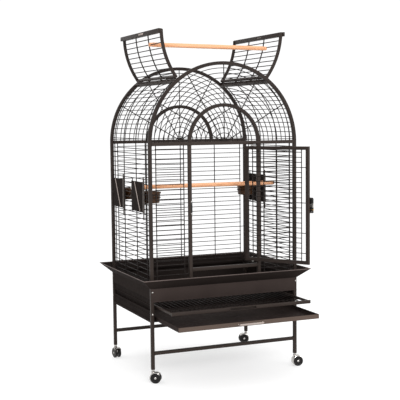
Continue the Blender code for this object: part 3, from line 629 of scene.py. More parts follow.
def make_flap(label, side):
    """One roof flap, drawn shut and then turned to where it rests."""
    body = f"{label}_flap"
    turn = turned_about(flap_axis(side), side * FLAP_OPEN[side], "Y")
    edge = 0.3165
    bar, deep = 0.012, 0.017
    lip_near, lip_far = 0.0140, 0.0380
    first, last = lip_near + 0.003, ARCH_R * FLAP_ANGLE - 0.003
    bm = bmesh.new()
    for y in (-edge + bar / 2, edge - bar / 2):
        path = [on_arch(side, first + (last - first) * k / 20, 0, y) for k in range(21)]
        sweep(bm, path, rounded(deep, bar, 0.0018), (0, 1, 0))
    foot = on_arch(side, last - bar / 2)
    up = Matrix.Rotation(side * (last - bar / 2) / ARCH_R, 3, "Y") @ Vector((0, 0, 1))
    inner = edge - bar
    sweep(bm, (foot + Vector((0, -inner, 0)), foot + Vector((0, inner, 0))), rounded(bar, deep, 0.0018), up)
    piece(f"{label}_flap_tube", bm, TUBE_COAT, body, (f"{label}_flap_frame",), "frame_tube", turn=turn)
    strip = bmesh.new()
    rest = SPRING_Z + ARCH_R + FACE + CLEAR
    low, high = rest - 0.0140, rest + 0.0107
    near, far = sorted((side * lip_near, side * lip_far))
    soft_box(strip, (near, -0.3150, low), (far, 0.3150, high - 0.0004), 0.0022, 3)
    soft_box(strip, (near, -0.3215, rest), (far, 0.3215, high), 0.0022, 3)
    piece(f"{label}_flap_lip", strip, TUBE_COAT, body, slot="frame_tube", turn=turn)
    wires = bmesh.new()
    for y in FLAP_STRIPS:
        path = [on_arch(side, first + 0.012 + (last - first - 0.014) * k / 18, 0, y) for k in range(19)]
        sweep(wires, path, circle(0.0036, 10), (0, 1, 0))
        rod(wires, on_arch(side, last - 0.005, 0, y), on_arch(side, last + 0.001, 0.0095, y), 0.0022, 10)
    reach = Vector((0, inner + WELD, 0))
    for k in range(8):
        point = on_arch(side, 0.0600 + 0.0292 * k, 0.0045)
        rod(wires, point - reach, point + reach, 0.0028)
    piece(f"{label}_flap_wires", wires, WIRE_COAT, body, (f"{label}_flap_mesh",), "wire", turn=turn)
    catch = bmesh.new()
    centre = side * (lip_near + lip_far) / 2
    soft_box(catch, (centre - 0.0050, -0.078, high - 0.0006), (centre + 0.0050, -0.006, high + 0.0012), 0.0005)
    stud = [(0, 0), (0.0040, 0), (0.0036, 0.0016), (0, 0.0020)]
    for y in (-0.070, -0.014):
        turned(catch, stud, 16, Matrix.Translation((centre, y, high + 0.0012)))
    pin = [(0, -0.0262), (0.0032, -0.0262), (0.0032, 0.0016), (0.0026, 0.0026), (0, 0.0030)]
    for y in (-0.058, -0.042, -0.026):
        turned(catch, pin, 16, Matrix.Translation((centre, y, high + 0.0010)))
    piece(f"{label}_flap_catch", catch, PULL_STEEL, body, turn=turn)


def make_perches():
    radius = 0.0125
    middle = box_middle("top_perch")
    y, z = middle.y - CAGE_Y, middle.z
    half = 0.366
    bm = bmesh.new()
    profile = [(0, -half + 0.020), (0.0112, -half + 0.020), (radius, -half + 0.024), (radius, -0.2), (radius, 0.0)]
    profile += [(radius, 0.2), (radius, half - 0.024), (0.0112, half - 0.020), (0, half - 0.020)]
    turned(bm, profile, 28, facing((0, y, z), "X", 1))
    for side in (-1, 1):
        for jaw in (-1, 1):
            outline = []
            for k in range(9):
                a = math.radians(90 - 22.5 * k)
                outline.append((y + jaw * max(0.0034, 0.0108 * math.cos(a)), z + 0.0108 * math.sin(a)))
            start, stop = sorted((side * (half - 0.022), side * half))
            extrude(bm, outline, start, stop, "X")
    bmesh.ops.transform(bm, matrix=turned_about((0, y, z), PERCH_LEAN, "Y"), verts=bm.verts)
    piece("play_perch_dowel", bm, PINE, "play_perch", ("top_perch",), "perch_wood", angle=40)
    low, high = corners("inner_perch")
    level = (low.z + high.z) / 2
    bm = bmesh.new()
    left_y, right_y = -0.020, -0.070
    reach = (high.x - low.x) / 2
    slant = math.atan((right_y - left_y) / (2 * reach))
    profile = [(0, -reach), (radius - 0.002, -reach), (radius, -reach + 0.002), (radius, 0)]
    profile += [(radius, reach - 0.002), (radius - 0.002, reach), (0, reach)]
    lay = Matrix.Translation((0, (left_y + right_y) / 2, level)) @ Matrix.Rotation(slant, 4, "Z")
    turned(bm, profile, 28, lay @ Matrix.Rotation(math.pi / 2, 4, "Y"))
    piece("inner_perch_dowel", bm, PINE, replaces=("inner_perch",), slot="perch_wood", angle=40)
    screws = bmesh.new()
    bolt = [(0, -0.006), (0.003, -0.006), (0.003, 0.0), (0.0115, 0.0), (0.0115, 0.0015)]
    bolt += [(0.005, 0.0018), (0.005, 0.0045), (0.0042, 0.0052), (0, 0.0052)]
    for x, at in ((-HALF_X, left_y), (HALF_X, right_y)):
        side = math.copysign(1, x)
        turned(screws, bolt, 24, facing((x - side * 0.0005, at, level), "X", side))
    piece("inner_perch_bolts", screws, ZINC, slot="bright_metal")


# ---- door ----------------------------------------------------------------------------------------------------------
DOOR_AXIS = Vector(JOINTS["door_hinge"]["pos_m"])
DOOR_X, DOOR_Y = DOOR_AXIS.x, DOOR_AXIS.y - CAGE_Y
DOOR_HALF = 0.190
DOOR_LOW, DOOR_HIGH = 0.657, 1.288


def make_door():
    turn = turned_about((DOOR_X, DOOR_Y, 0), DOOR_OPEN, "Z")
    y = -HALF_Y
    bm = bmesh.new()
    ring = [(-DOOR_HALF, y, DOOR_LOW), (DOOR_HALF, y, DOOR_LOW), (DOOR_HALF, y, DOOR_HIGH), (-DOOR_HALF, y, DOOR_HIGH)]
    sweep(bm, ring, SQUARE, (0, 1, 0), closed=True)
    eye = [(0.0085, -0.0085), (0.0085, 0.0085), (0.0034, 0.0085), (0.0034, -0.0085)]
    for z in (DOOR_LOW, DOOR_HIGH):
        turned(bm, eye, 28, Matrix.Translation((DOOR_X, DOOR_Y, z)))
        soft_box(bm, (DOOR_X - 0.006, y - FACE - 0.006, z - 0.0075), (DOOR_X + 0.006, y - FACE + 0.001, z + 0.0075))
    piece("door_leaf_tube", bm, TUBE_COAT, "door", ("door_frame",), "frame_tube", turn=turn)
    wires = bmesh.new()
    edge = 0.1525
    low, high = DOOR_LOW + FACE, DOOR_HIGH - FACE
    for x in (-edge, 0.0, edge):
        rod(wires, (x, y, low - WELD), (x, y, high + WELD), UPRIGHT)
    for k in range(22):
        z = low + (high - low) * (k + 0.5) / 22 + 0.0012
        reach = edge + 0.0025 if k not in (1, 5, 11, 18) else DOOR_HALF - FACE + WELD
        rod(wires, (-reach, y + LAYER, z), (reach, y + LAYER, z))
    piece("door_wires", wires, WIRE_COAT, "door", ("door_mesh",), "wire", turn=turn)
    make_hinges()
    make_lock(turn)


def make_hinges():
    x, y = DOOR_X, DOOR_Y
    front = -HALF_Y - FACE
    for name, rail, sign in (("upper", DOOR_HIGH, 1), ("lower", DOOR_LOW, -1)):
        head = rail + sign * 0.0128
        low, high = sorted((rail + sign * 0.0098, head))
        bm = bmesh.new()
        outline = [(x + 0.001, y - 0.0068)]
        for k in range(9):
            a = math.radians(-90 - 180 * k / 8)
            outline.append((x + 0.0075 * math.cos(a), y + 0.0072 * math.sin(a)))
        outline = [(px, min(py, front - 0.0004)) for px, py in outline]
        outline += [(x + 0.004, front - 0.0004), (INNER_R + FACE, front - 0.0004)]
        outline += [(INNER_R + FACE, front - 0.0040), (INNER_R - 0.004, y - 0.0068)]
        extrude(bm, list(dict.fromkeys(outline)), low, high, "Z")
        piece(f"door_hinge_{name}_lug", bm, TUBE_COAT, replaces=(f"door_hinge_{name}",), slot="frame_tube")
        pin = bmesh.new()
        end, top = rail - sign * 0.0125, head + sign * 0.0036
        profile = [(0, end), (0.0028, end), (0.0028, head), (0.0062, head)]
        profile += [(0.0062, head + sign * 0.0022), (0.0045, top), (0, top)]
        turned(pin, profile, 24, Matrix.Translation((x, y, 0)))
        piece(f"door_hinge_{name}_pin", pin, ZINC, slot="bright_metal")


def make_lock(turn):
    """Lock on the door's free edge: case, stripes and turning knob. Its strike plate is on the door post."""
    face = -HALF_Y - FACE
    back = face - CLEAR
    bm = bmesh.new()
    soft_box(bm, (-0.214, face - 0.0143, 0.935), (-0.181, back, 1.017), 0.0052, 4)
    soft_box(bm, (-0.2185, face - 0.006, 0.932), (-0.1765, back, 1.013), 0.002)
    piece("lock_case", bm, BLACK, "door", ("lock_body",), "lock_plastic", turn=turn)
    bm = bmesh.new()
    soft_box(bm, (-0.2150, face - 0.0150, 0.968), (-0.1800, face - 0.002, 0.974), 0.0012)
    soft_box(bm, (-0.2194, face - 0.0064, 0.9375), (-0.1760, back, 0.9410), 0.0008)
    washer = [(0, 0), (0.0120, 0), (0.0120, 0.0012), (0.0095, 0.0018), (0, 0.0018)]
    turned(bm, washer, 32, facing((LOCK_X, face - 0.0140, 0.990), "Y", -1))
    piece("lock_band", bm, CHROME, "door", slot="bright_metal", turn=turn)
    bm = bmesh.new()
    place = facing((LOCK_X, face - 0.0150, 0.990), "Y", -1)
    knob = [(0, 0.0), (0.0070, 0.0), (0.0070, 0.004), (0.0105, 0.0052), (0.0108, 0.0095)]
    knob += [(0.0092, 0.0118), (0.004, 0.0124), (0, 0.0124)]
    turned(bm, knob, 32, place)
    grip = bmesh.new()
    soft_box(grip, (-0.0022, -0.0085, -0.003), (0.0022, 0.0085, 0.0022), 0.0008)
    bmesh.ops.transform(grip, matrix=place @ Matrix.Translation((0, 0, 0.0108)), verts=grip.verts)
    merge(bm, grip)
    piece("lock_turn_knob", bm, CHROME, "door_lock_knob", ("lock_knob",), "bright_metal", turn=turn)
    bm = bmesh.new()
    soft_box(bm, (-0.2200, face - 0.0065, 0.9480), (-0.1758, back, 0.9545), 0.0010)
    key = [(0, 0), (0.0052, 0), (0.0052, 0.0022), (0.0035, 0.0030), (0, 0.0030)]
    turned(bm, key, 24, facing((LOCK_X, face - 0.0140, 0.9500), "Y", -1))
    piece("lock_bolt", bm, BRASS, "door", turn=turn)
    bm = bmesh.new()
    soft_box(bm, (-0.2206, face - 0.0066, 0.9630), (-0.1755, back, 0.9860), 0.0012)
    piece("lock_collar", bm, SATIN, "door", slot="bright_metal", turn=turn)
    bm = bmesh.new()
    wall = FACE - INNER_R
    soft_box(bm, (wall - 0.0080, face - 0.00015, 0.9240), (wall + 0.0012, -HALF_Y + 0.004, 1.0020), 0.0004)
    soft_box(bm, (wall - 0.0010, face + 0.0010, 0.9380), (wall + 0.0026, face + 0.0140, 0.9880), 0.0008)
    piece("strike_plate", bm, BLACK, slot="lock_plastic")
    bm = bmesh.new()
    screw = [(0, -0.002), (0.0032, -0.002), (0.0032, 0.0001), (0.0026, 0.00027), (0, 0.00027)]
    for z in (0.9295, 0.9965):
        turned(bm, screw, 20, facing((wall - 0.0040, face, z), "Y", -1))
    piece("strike_plate_screws", bm, ZINC, slot="bright_metal")


# ---- feeders -------------------------------------------------------------------------------------------------------
def make_feeder(name, side, rear):
    """Hinged feeder door with its cup holder, handle, latch and cup."""
    def out(distance):
        return side * HALF_X + side * distance

    near = rear - FEEDER_WIDTH
    body = f"feeder_{name}"
    y0, y1 = near + 0.0006, rear + 0.0085
    z0, z1 = FEEDER_Z[0] - 0.0015, FEEDER_Z[1] + 0.0035
    bm = bmesh.new()
    a, b = 0.0026, 0.0026 + 0.0013  # the plate's two faces, out from the posts' middle
    soft_box(bm, (out(a), y0, z0), (out(b), y1, z1), 0.0005)
    for y in (y0, y1):
        soft_box(bm, (out(-0.003), y - 0.0008, z0 + 0.002), (out(b), y + 0.0008, z1 - 0.002), 0.0004, 1)
    # The plate takes the painted-shade coat: painted shade on a side-facing sheet.
    piece(f"feeder_plate_{name}", bm, PAINTED_SHADE_COAT, body, (f"feeder_door_{name}",), "sheet_steel")
    holder = bmesh.new()
    centre = box_middle(f"cup_{name}")
    cx, cy = centre.x, centre.y - CAGE_Y
    low, high = corners(f"cup_{name}")
    hoop_r = (high.x - low.x) / 2 - 0.0030
    hoop_z, rest_z = low.z + 0.030, low.z - 0.0014
    turns = [2 * math.pi * k / 36 for k in range(36)]
    hoop = [(cx + hoop_r * math.cos(turn), cy + hoop_r * math.sin(turn), hoop_z) for turn in turns]
    sweep(holder, hoop, circle(0.0016), (0, 0, 1), closed=True)
    for shift in (-0.026, 0.026):
        y = cy + shift
        meet = cx + side * math.sqrt(hoop_r ** 2 - shift ** 2)
        rod(holder, (out(0.0030), y, hoop_z), (meet, y, hoop_z), 0.0016)
        rod(holder, (out(0.0030), y, rest_z), (cx - side * 0.030, cy + shift * 0.6, rest_z), 0.0016)
    piece(f"cup_holder_{name}", holder, WIRE_COAT, body, slot="wire")
    handle = bmesh.new()
    grip_x = out(b + 0.0022)
    rod(handle, (grip_x, y1 - 0.062, z1 - 0.004), (grip_x, y0 + 0.050, z0 + 0.006), 0.0027, 10)
    piece(f"feeder_handle_{name}", handle, PULL_STEEL, body, slot="wire")
    hinge = bmesh.new()
    hinge_x, hinge_y = out(0.0050), near - 0.0072
    h = (z1 - z0) / 5
    for k in range(5):
        foot, head = z0 + h * k + 0.0004, z0 + h * (k + 1) - 0.0004
        knuckle = [(0, foot), (0.0062, foot), (0.0062, head), (0, head)]
        turned(hinge, knuckle, 16, Matrix.Translation((hinge_x, hinge_y, 0)))
    rod(hinge, (hinge_x, hinge_y, z0 - 0.040), (hinge_x, hinge_y, z1 + 0.030), 0.0034, 12)
    piece(f"feeder_hinge_{name}", hinge, HINGE_STEEL, slot="frame_tube")
    latch = bmesh.new()
    knob = [(0, 0), (0.0062, 0), (0.0062, 0.0018), (0.0035, 0.0026), (0.0035, 0.0060)]
    knob += [(0.0052, 0.0072), (0.0050, 0.0092), (0, 0.0098)]
    turned(latch, knob, 24, facing((out(b), y1 - 0.010, (z0 + z1) / 2), "X", side))
    piece(f"feeder_latch_{name}", latch, TUBE_COAT, body, slot="frame_tube")
    cup = bmesh.new()
    height = high.z - low.z
    r = (high.x - low.x) / 2
    foot = r - 0.009
    profile = [(0, 0.0016), (foot - 0.006, 0.0016), (foot - 0.0045, 0.0), (foot - 0.0015, 0.0), (foot, 0.0018)]
    profile += [(r - 0.0042, height - 0.0100), (r - 0.0036, height - 0.0092), (r - 0.0004, height - 0.0085)]
    profile += [(r, height - 0.0075), (r, height - 0.0012), (r - 0.0008, height), (r - 0.0022, height)]
    profile += [(r - 0.0030, height - 0.0010), (r - 0.0056, height - 0.0120)]
    profile += [(foot - 0.0020, 0.0060), (foot - 0.0060, 0.0032), (0, 0.0028)]
    turned(cup, profile, 48, Matrix.Translation((cx, cy, low.z)))
    piece(f"cup_{name}_bowl", cup, CUP, f"food_cup_{name}", (f"cup_{name}",), "feeder_cup")


def make_feeders():
    for name, (side, rear) in FEEDERS.items():
        make_feeder(name, side, rear)


# ---- base ----------------------------------------------------------------------------------------------------------
def mitred(profile, across, reach, along):
    """Strip along one side of the cage; the profile holds distances out from the posts and heights."""
    bm = bmesh.new()
    rings = []
    for distance, height in profile:
        half = across + distance - 0.0005
        at = reach + math.copysign(distance, reach)
        ends = [(s, at, height) if along == "X" else (at, s, height) for s in (-half, half)]
        rings.append([bm.verts.new(p) for p in ends])
    for k in range(len(rings)):
        n = (k + 1) % len(rings)
        bm.faces.new((rings[k][0], rings[k][1], rings[n][1], rings[n][0]))
    bm.faces.new([ring[0] for ring in rings])
    bm.faces.new([ring[1] for ring in rings])
    return bm


def make_guards():
    """Seed guard: bent sheet with a hemmed lip, mitred at the corners."""
    sheet = [(0.0099, 0.5264), (0.0688, 0.5788), (0.0693, 0.5797), (0.0692, 0.5806), (0.0686, 0.5811)]
    sheet += [(0.0678, 0.5809), (0.0596, 0.5745), (0.0590, 0.5731), (0.0594, 0.5722), (0.0099, 0.5284)]
    hem = [(0.0664, 0.5763), (0.0694, 0.5789), (0.0704, 0.5799), (0.0707, 0.5808), (0.0705, 0.5816)]
    hem += [(0.0697, 0.5820), (0.0684, 0.5819), (0.0668, 0.5806), (0.0664, 0.5798)]
    runs = [(name, HALF_X, side * HALF_Y, "X") for name, side in ENDS]
    runs += [(name, HALF_Y, side * HALF_X, "Y") for name, side in SIDES]
    for name, *run in runs:
        node = f"seed_guard_{name}"
        # The guard sheet takes the painted-shade coat: painted shade on its outer face.
        piece(f"{node}_sheet", mitred(sheet, *run), PAINTED_SHADE_COAT, replaces=(node,), slot="sheet_steel", angle=50)
        # The hem takes the lighter coat: painted highlight along the lip.
        piece(f"{node}_hem", mitred(hem, *run), PAINTED_HIGHLIGHT_HEM_COAT, slot="sheet_steel", angle=50)


def make_cabinet():
    """Pressed rails at the sides, a flat back and the apron in front of the tray."""
    sheet = {"slot": "sheet_steel", "angle": 28}
    inner_y = HALF_Y - FACE
    skin = HALF_X + FACE - 0.003
    top = 0.5335
    t = SHEET
    rail = [(0.0, top), (0.0, 0.4660), (0.0040, 0.4635), (0.0040, 0.4340), (0.0005, 0.4325), (0.0005, 0.4285)]
    rail += [(0.0130, 0.4270), (0.0130, 0.4000), (0.0005, 0.3985), (0.0005, 0.3940), (0.0035, 0.3925)]
    rail += [(0.0035, 0.3790), (0.0010, 0.3775), (0.0010, 0.3740), (0.0035, 0.3725), (0.0035, 0.3500)]
    rail += [(0.0, 0.3480), (0.0, 0.3360)]
    outer = [(skin - inset, z) for inset, z in rail]
    inner = [(x - t, z) for x, z in outer][::-1]
    foot = [(skin - 0.0010, 0.3350), (skin - 0.0060, 0.3350), (skin - 0.0060, 0.3364), (skin - t, 0.3364)]
    for label, side in SIDES:
        bm = bmesh.new()
        extrude(bm, [(side * x, z) for x, z in outer + foot + inner[1:]], -inner_y, inner_y, "Y")
        for ledge in (0.4157, 0.3427):
            shelf = [(skin - 0.0120, ledge), (0.409, ledge), (0.408, ledge - 0.001), (0.408, ledge - 0.0065)]
            shelf += [(0.4092, ledge - 0.0065), (0.4092, ledge - t), (skin - 0.0120, ledge - t)]
            extrude(bm, [(side * x, z) for x, z in shelf], -inner_y, inner_y, "Y")
        # Side rails take the painted-shade coat: painted shade on the side faces.
        piece(f"cabinet_{label}_rail_sheet", bm, PAINTED_SHADE_COAT, replaces=(f"cabinet_side_{label}",), **sheet)
    half_x = HALF_X - FACE
    rear = HALF_Y + FACE - 0.003
    bm = bmesh.new()
    outline = [(rear, top), (rear, 0.3365), (rear - 0.0015, 0.3352), (0.0025 - inner_y, 0.3352)]
    outline += [(0.0025 - inner_y, 0.3366), (rear - t - 0.0012, 0.3366), (rear - t, 0.3378), (rear - t, top)]
    extrude(bm, outline, CLEAR - half_x, half_x - CLEAR, "X")
    # The back takes the painted-shade coat too; the apron below keeps the plain sheet coat.
    piece("cabinet_back_sheet", bm, PAINTED_SHADE_COAT, replaces=("cabinet_back",), **sheet)
    front = -HALF_Y - FACE - CLEAR
    half_x = HALF_X + FACE - 0.002
    bm = bmesh.new()
    low, high = (corner.z for corner in corners("front_apron"))
    outline = [(front, high), (front - 0.0015, high), (front - 0.0015, low + 0.0070), (front - 0.0026, low + 0.0060)]
    outline += [(front - 0.0030, low + 0.0030), (front - 0.0026, low + 0.0006), (front - 0.0010, low)]
    outline += [(front + 0.009, low), (front + 0.009, low + 0.0014), (front, low + 0.0020)]
    extrude(bm, outline, -half_x, half_x, "X")
    piece("front_apron_sheet", bm, SHEET_COAT, replaces=("front_apron",), **sheet)
    make_screws()


def button_head(bm, matrix, radius=0.0046):
    """Screw head with a hollow in its middle."""
    h = radius * 0.62
    profile = [(0, h * 0.35), (radius * 0.38, h * 0.35), (radius * 0.42, h), (radius * 0.62, h * 0.93)]
    profile += [(radius * 0.88, h * 0.60), (radius, h * 0.18), (radius, 0), (0, 0)]
    turned(bm, profile, 24, matrix)


def make_screws():
    """Screw heads: front faces of the front legs, rear faces and outer sides of the rear ones."""
    bm = bmesh.new()
    for side in (-1, 1):
        for z, apron in ((0.507, 0.0018), (0.384, 0.0)):
            button_head(bm, facing((side * HALF_X, -HALF_Y - (FACE + apron), z), "Y", -1))
            button_head(bm, facing((side * HALF_X, HALF_Y + FACE, z), "Y", 1))
            button_head(bm, facing((side * (HALF_X + FACE), HALF_Y, z), "X", side), 0.0042)
    piece("stand_screws", bm, ZINC, slot="bright_metal")


def make_grate():
    low, high = corners("grate")
    z = (low.z + high.z) / 2
    x1 = high.x
    y0, y1 = low.y - CAGE_Y, high.y - CAGE_Y
    bar = 0.012
    pull = 0.078  # half the width of the finger channel in the front bar
    bm = bmesh.new()
    side_x, open_y, far_y = x1 - bar / 2, y0 + bar - 0.0004, y1 - bar / 2
    path = [(-x1 + bar / 2, open_y, z), (-x1 + bar / 2, far_y, z), (side_x, far_y, z), (side_x, open_y, z)]
    sweep(bm, path, rounded(bar, bar, 0.0016), (0, 0, 1))
    tall = rounded(bar, 0.0190, 0.0018)
    mid_y, front_z = y0 + bar / 2, z - 0.0003
    sweep(bm, ((-x1, mid_y, front_z), (-pull, mid_y, front_z)), tall, (0, 0, 1))
    sweep(bm, ((pull, mid_y, front_z), (x1, mid_y, front_z)), tall, (0, 0, 1))
    low_z, high_z = front_z - 0.0095, front_z + 0.0095
    wall_y = y0 + bar - 0.0022
    channel = [(y0, high_z), (y0 + bar, high_z), (y0 + bar, low_z), (y0, low_z), (y0, low_z + 0.0022)]
    channel += [(wall_y, low_z + 0.0022), (wall_y, high_z - 0.0040), (y0, high_z - 0.0040)]
    extrude(bm, channel, -pull - 0.0002, pull + 0.0002, "X")
    piece("grate_rim", bm, TUBE_COAT, "floor_grate", ("grate",), "frame_tube")
    bm = bmesh.new()
    for k in range(-14, 15):
        x = k * GRATE_PITCH
        rod(bm, (x, y0 + bar - WELD, z + 0.0030), (x, y1 - bar + WELD, z + 0.0030))
    for y in (y0 + 0.10, (y0 + y1) / 2, y1 - 0.10):
        rod(bm, (-x1 + bar - WELD, y, z - 0.0003), (x1 - bar + WELD, y, z - 0.0003), 0.0022)
    piece("grate_wires", bm, WIRE_COAT, "floor_grate", slot="wire")


def make_tray():
    low, high = corners("tray")
    x1 = high.x
    y0, y1 = low.y - CAGE_Y, high.y - CAGE_Y
    z0, z1 = low.z, high.z
    bm = bmesh.new()

    def ring(inset, height, corner):
        points = []
        ex = x1 - inset - corner
        ey = (y1 - y0) / 2 - inset - corner
        for cx, cy, start in ((1, 1, 0), (-1, 1, 90), (-1, -1, 180), (1, -1, 270)):
            for k in range(5):
                a = math.radians(start + 22.5 * k)
                y = (y0 + y1) / 2 + cy * ey + corner * math.sin(a)
                points.append(bm.verts.new((cx * ex + corner * math.cos(a), y, height)))
        return points

    t = SHEET
    levels = [(0.0030, z0, 0.001), (0.0016, z0 + 0.0006, 0.002), (0.0010, z0 + 0.0020, 0.003)]
    levels += [(0.0010, z1 - 0.0052, 0.003), (0.0, z1 - 0.0044, 0.004), (0.0, z1 - 0.0012, 0.004)]
    levels += [(0.0009, z1, 0.003), (0.0026, z1, 0.003), (0.0034, z1 - 0.0010, 0.003), (0.0034, z1 - 0.0040, 0.003)]
    levels += [(0.0010 + t, z1 - 0.0050, 0.003), (0.0010 + t, z0 + 0.0040, 0.003)]
    levels += [(0.0040, z0 + t + 0.0004, 0.002), (0.0060, z0 + t, 0.001)]
    rings = [ring(*level) for level in levels]
    for one, two in zip(rings, rings[1:]):
        for k in range(len(one)):
            n = (k + 1) % len(one)
            bm.faces.new((one[k], one[n], two[n], two[k]))
    bm.faces.new(rings[0][::-1])
    bm.faces.new(rings[-1])
    piece("tray_pan", bm, SHEET_COAT, "litter_tray", ("tray",), "sheet_steel", angle=40)
    plate = bmesh.new()
    soft_box(plate, (-x1 + 0.0004, y0 - 0.0006, z0 + 0.0004), (x1 - 0.0004, y0 + 0.0004, z1 - 0.0002), 0.0003, 1)
    piece("tray_front_plate", plate, LIP_COAT, "litter_tray", slot="sheet_steel")
    low, high = corners("tray_handle")
    z = (low.z + high.z) / 2
    out = low.y - CAGE_Y + 0.0042
    bm = bmesh.new()
    path = [(-0.072, y0 + 0.0006, z)]
    for k in range(9):
        a = math.radians(90 * k / 8)
        path.append((-0.072 + 0.009 * (1 - math.cos(a)), out + 0.009 * (1 - math.sin(a)), z))
    path += [(-x, y, h) for x, y, h in reversed(path)]
    sweep(bm, path, rounded(0.0036, 0.0100, 0.0014), (0, 0, 1))
    rivet = [(0, 0), (0.0048, 0), (0.0048, 0.0006), (0.0040, 0.0010), (0, 0.0010)]
    for x in (-0.0715, 0.0715):
        turned(bm, rivet, 20, facing((x, y0 - 0.0006, z), "Y", -1))
    piece("tray_pull", bm, PULL_STEEL, "litter_tray", ("tray_handle",), "bright_metal", angle=60)


# ---- casters -------------------------------------------------------------------------------------------------------
def make_casters():
    for name in ("front_left", "front_right", "rear_left", "rear_right"):
        stem = Vector(JOINTS[f"caster_{name}_swivel"]["pos_m"])
        hub = Vector(JOINTS[f"caster_{name}_roll"]["pos_m"])
        heading = math.atan2(hub.y - stem.y, hub.x - stem.x)
        trail = math.hypot(hub.y - stem.y, hub.x - stem.x)
        turn = Matrix.Translation((stem.x, stem.y - CAGE_Y, 0)) @ Matrix.Rotation(heading, 4, "Z")
        make_caster(name, turn, trail, hub.z)


def make_caster(name, turn, trail, height):
    axle = turn @ Matrix.Translation((trail, 0, height)) @ Matrix.Rotation(math.pi / 2, 4, "X")
    body = f"caster_{name}"
    r = 0.030  # wheel radius

    def over_wheel(gap, first, sweep_angle):
        turns = [math.radians(first + sweep_angle * k / 16) for k in range(17)]
        return [(trail + (r + gap) * math.cos(a), height + (r + gap) * math.sin(a)) for a in turns]

    bm = bmesh.new()
    extrude_curved(bm, over_wheel(0.0030, 215, -175), over_wheel(0.0012, 40, 175), 0.0200, 0.0030, turn)
    web = [(-0.010, 0.050), (-0.008, 0.0655), (0.010, 0.0655), (0.026, 0.054)]
    web += [(0.029, 0.034), (0.019, 0.020), (0.009, 0.022), (-0.005, 0.035)]
    part = bmesh.new()
    extrude(part, web, -0.0055, 0.0055, "Y")
    bmesh.ops.bevel(part, geom=part.edges, offset=0.0012, segments=2, profile=0.5, affect="EDGES")
    bmesh.ops.transform(part, matrix=turn, verts=part.verts)
    merge(bm, part)
    piece(f"caster_hood_{name}", bm, CHROME, body, (f"caster_body_{name}",), "caster_metal")
    bm = bmesh.new()
    stem = [(0, 0.058), (0.0100, 0.058), (0.0108, 0.0595), (0.0108, 0.0650), (0.0092, 0.0668), (0.0075, 0.0675)]
    stem += [(0.0075, 0.0705), (0.0098, 0.0712), (0.0098, 0.0750), (0.0085, 0.0757), (0, 0.0757)]
    turned(bm, stem, 32, turn)
    cap = [(0, 0.0180), (0.0060, 0.0180), (0.0062, 0.0192), (0.0050, 0.0202), (0.0025, 0.0206), (0, 0.0206)]
    flats = [axle @ Matrix.Rotation(flip, 4, "X") for flip in (math.pi, 0)]
    for flat in flats:
        turned(bm, cap, 28, flat)
    piece(f"caster_stem_{name}", bm, CHROME, body, slot="bright_metal")
    bm = bmesh.new()
    wheel = [(0, 0.0062), (0.0100, 0.0062), (0.0110, 0.0072), (r - 0.0060, 0.0072), (r - 0.0030, 0.0066)]
    wheel += [(r - 0.0008, 0.0078), (r, 0.0100), (r, 0.0155), (r - 0.0007, 0.0175), (r - 0.0026, 0.0188)]
    wheel += [(r - 0.0055, 0.0190), (r - 0.0070, 0.0180), (r - 0.0140, 0.0172), (r - 0.0170, 0.0180)]
    wheel += [(0.0080, 0.0184), (0, 0.0184)]
    for flat in flats:
        turned(bm, wheel, 44, flat)
    turned(bm, [(0, -0.0065), (0.0040, -0.0065), (0.0040, 0.0065), (0, 0.0065)], 20, axle)
    piece(f"caster_twin_wheels_{name}", bm, NYLON, f"wheels_{name}", (f"caster_wheels_{name}",), "caster_wheel")


def extrude_curved(bm, outer, inner, half, corner, turn):
    """Arched hood over the wheels: a band with its side edges turned down."""
    stations = [(-half, 0.0030), (-half + corner * 0.3, 0.0009), (-half + corner, 0.0)]
    stations += [(half - corner, 0.0), (half - corner * 0.3, 0.0009), (half, 0.0030)]
    low_scale = 1 - corner * 0.4 / half
    top, low = [], []
    inner = inner[::-1]
    for y, drop in stations:
        row_top, row_low = [], []
        for (ox, oz), (ix, iz) in zip(outer, inner):
            dx, dz = ox - ix, oz - iz
            length = math.hypot(dx, dz)
            nx, nz = dx / length, dz / length
            row_top.append(bm.verts.new(turn @ Vector((ox - nx * drop, y, oz - nz * drop))))
            row_low.append(bm.verts.new(turn @ Vector((ix - nx * drop, y * low_scale, iz - nz * drop))))
        top.append(row_top)
        low.append(row_low)
    for rows in (top, low):
        for one, two in zip(rows, rows[1:]):
            for k in range(len(one) - 1):
                bm.faces.new((one[k], one[k + 1], two[k + 1], two[k]))
    for one, two in ((top[0], low[0]), (top[-1], low[-1])):
        for k in range(len(one) - 1):
            bm.faces.new((one[k], one[k + 1], two[k + 1], two[k]))
    for k in (0, -1):
        for s in range(len(top) - 1):
            bm.faces.new((top[s][k], top[s + 1][k], low[s + 1][k], low[s][k]))


# ---- stage ---------------------------------------------------------------------------------------------------------
FLOOR_GLOW = 0.55  # lifts the floor to the photo's near-white ground
WORLD_STRENGTH = 1.06
CAMERA_PLACE = (-2.275, -5.312 + CAGE_Y, 1.457)
CAMERA_TURN = (23.09, 4.79, -0.61)  # degrees to the right, down, and tilted
FOCAL_WIDTHS = 976.2 / 400  # focal length in frame widths
SENSOR = 36.0


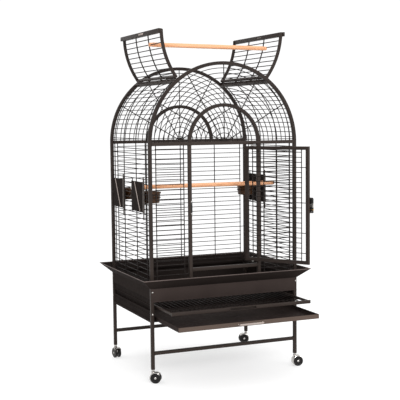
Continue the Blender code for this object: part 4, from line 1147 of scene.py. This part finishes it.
def make_stage():
    bm = bmesh.new()
    bmesh.ops.create_grid(bm, x_segments=8, y_segments=8, size=40)
    mesh = bpy.data.meshes.new("floor")
    bm.to_mesh(mesh)
    bm.free()
    floor = bpy.data.objects.new("floor", mesh)
    bpy.context.scene.collection.objects.link(floor)
    mat, _, _, shader = start_material("pale_floor")
    look = {"Base Color": (0.50, 0.50, 0.50, 1), "Emission Color": (1, 1, 1, 1), "Emission Strength": FLOOR_GLOW}
    look |= {"Roughness": 0.9, "Specular IOR Level": 0.0}
    for key, value in look.items():
        shader.inputs[key].default_value = value
    mesh.materials.append(mat)
    world = bpy.data.worlds.new("studio")
    bpy.context.scene.world = world
    world.use_nodes = True
    background = world.node_tree.nodes["Background"]
    background.inputs["Color"].default_value = (1, 1, 1, 1)
    background.inputs["Strength"].default_value = WORLD_STRENGTH
    bpy.context.scene.view_settings.view_transform = "Standard"


def area_light(name, place, aim, size, power, colour=(1, 1, 1)):
    light = bpy.data.lights.new(name, "AREA")
    light.energy = power
    light.size = size
    light.color = colour
    obj = bpy.data.objects.new(name, light)
    obj.location = place
    obj.rotation_euler = (Vector(aim) - Vector(place)).to_track_quat("-Z", "Y").to_euler()
    bpy.context.scene.collection.objects.link(obj)


def make_camera():
    yaw, pitch, roll = (math.radians(a) for a in CAMERA_TURN)
    ahead = Vector((math.sin(yaw) * math.cos(pitch), math.cos(yaw) * math.cos(pitch), -math.sin(pitch)))
    right = Vector((math.cos(yaw), -math.sin(yaw), 0))
    up = right.cross(ahead)
    right, up = right * math.cos(roll) + up * math.sin(roll), up * math.cos(roll) - right * math.sin(roll)
    camera = bpy.data.objects.new("camera", bpy.data.cameras.new("camera"))
    camera.data.sensor_width = SENSOR
    camera.data.lens = SENSOR * FOCAL_WIDTHS
    camera.data.clip_end = 200
    rotation = Matrix((right, up, -ahead)).transposed().to_4x4()
    camera.matrix_world = Matrix.Translation(CAMERA_PLACE) @ rotation
    bpy.context.scene.collection.objects.link(camera)
    bpy.context.scene.camera = camera


make_frame()
make_side_wires()
make_end_wires()
make_fans()
make_roof()
make_perches()
make_door()
make_feeders()
make_guards()
make_cabinet()
make_grate()
make_tray()
make_casters()
make_stage()
area_light("key", (-1.4, -5.8, 3.2), (0, 0, 1.1), 1.6, 190)
area_light("fill", (3.0, -4.4, 2.0), (0, 0, 0.9), 2.0, 60)
area_light("top", (0.4, 0.6, 5.0), (0, 0.1, 1.0), 2.5, 60)
make_camera()
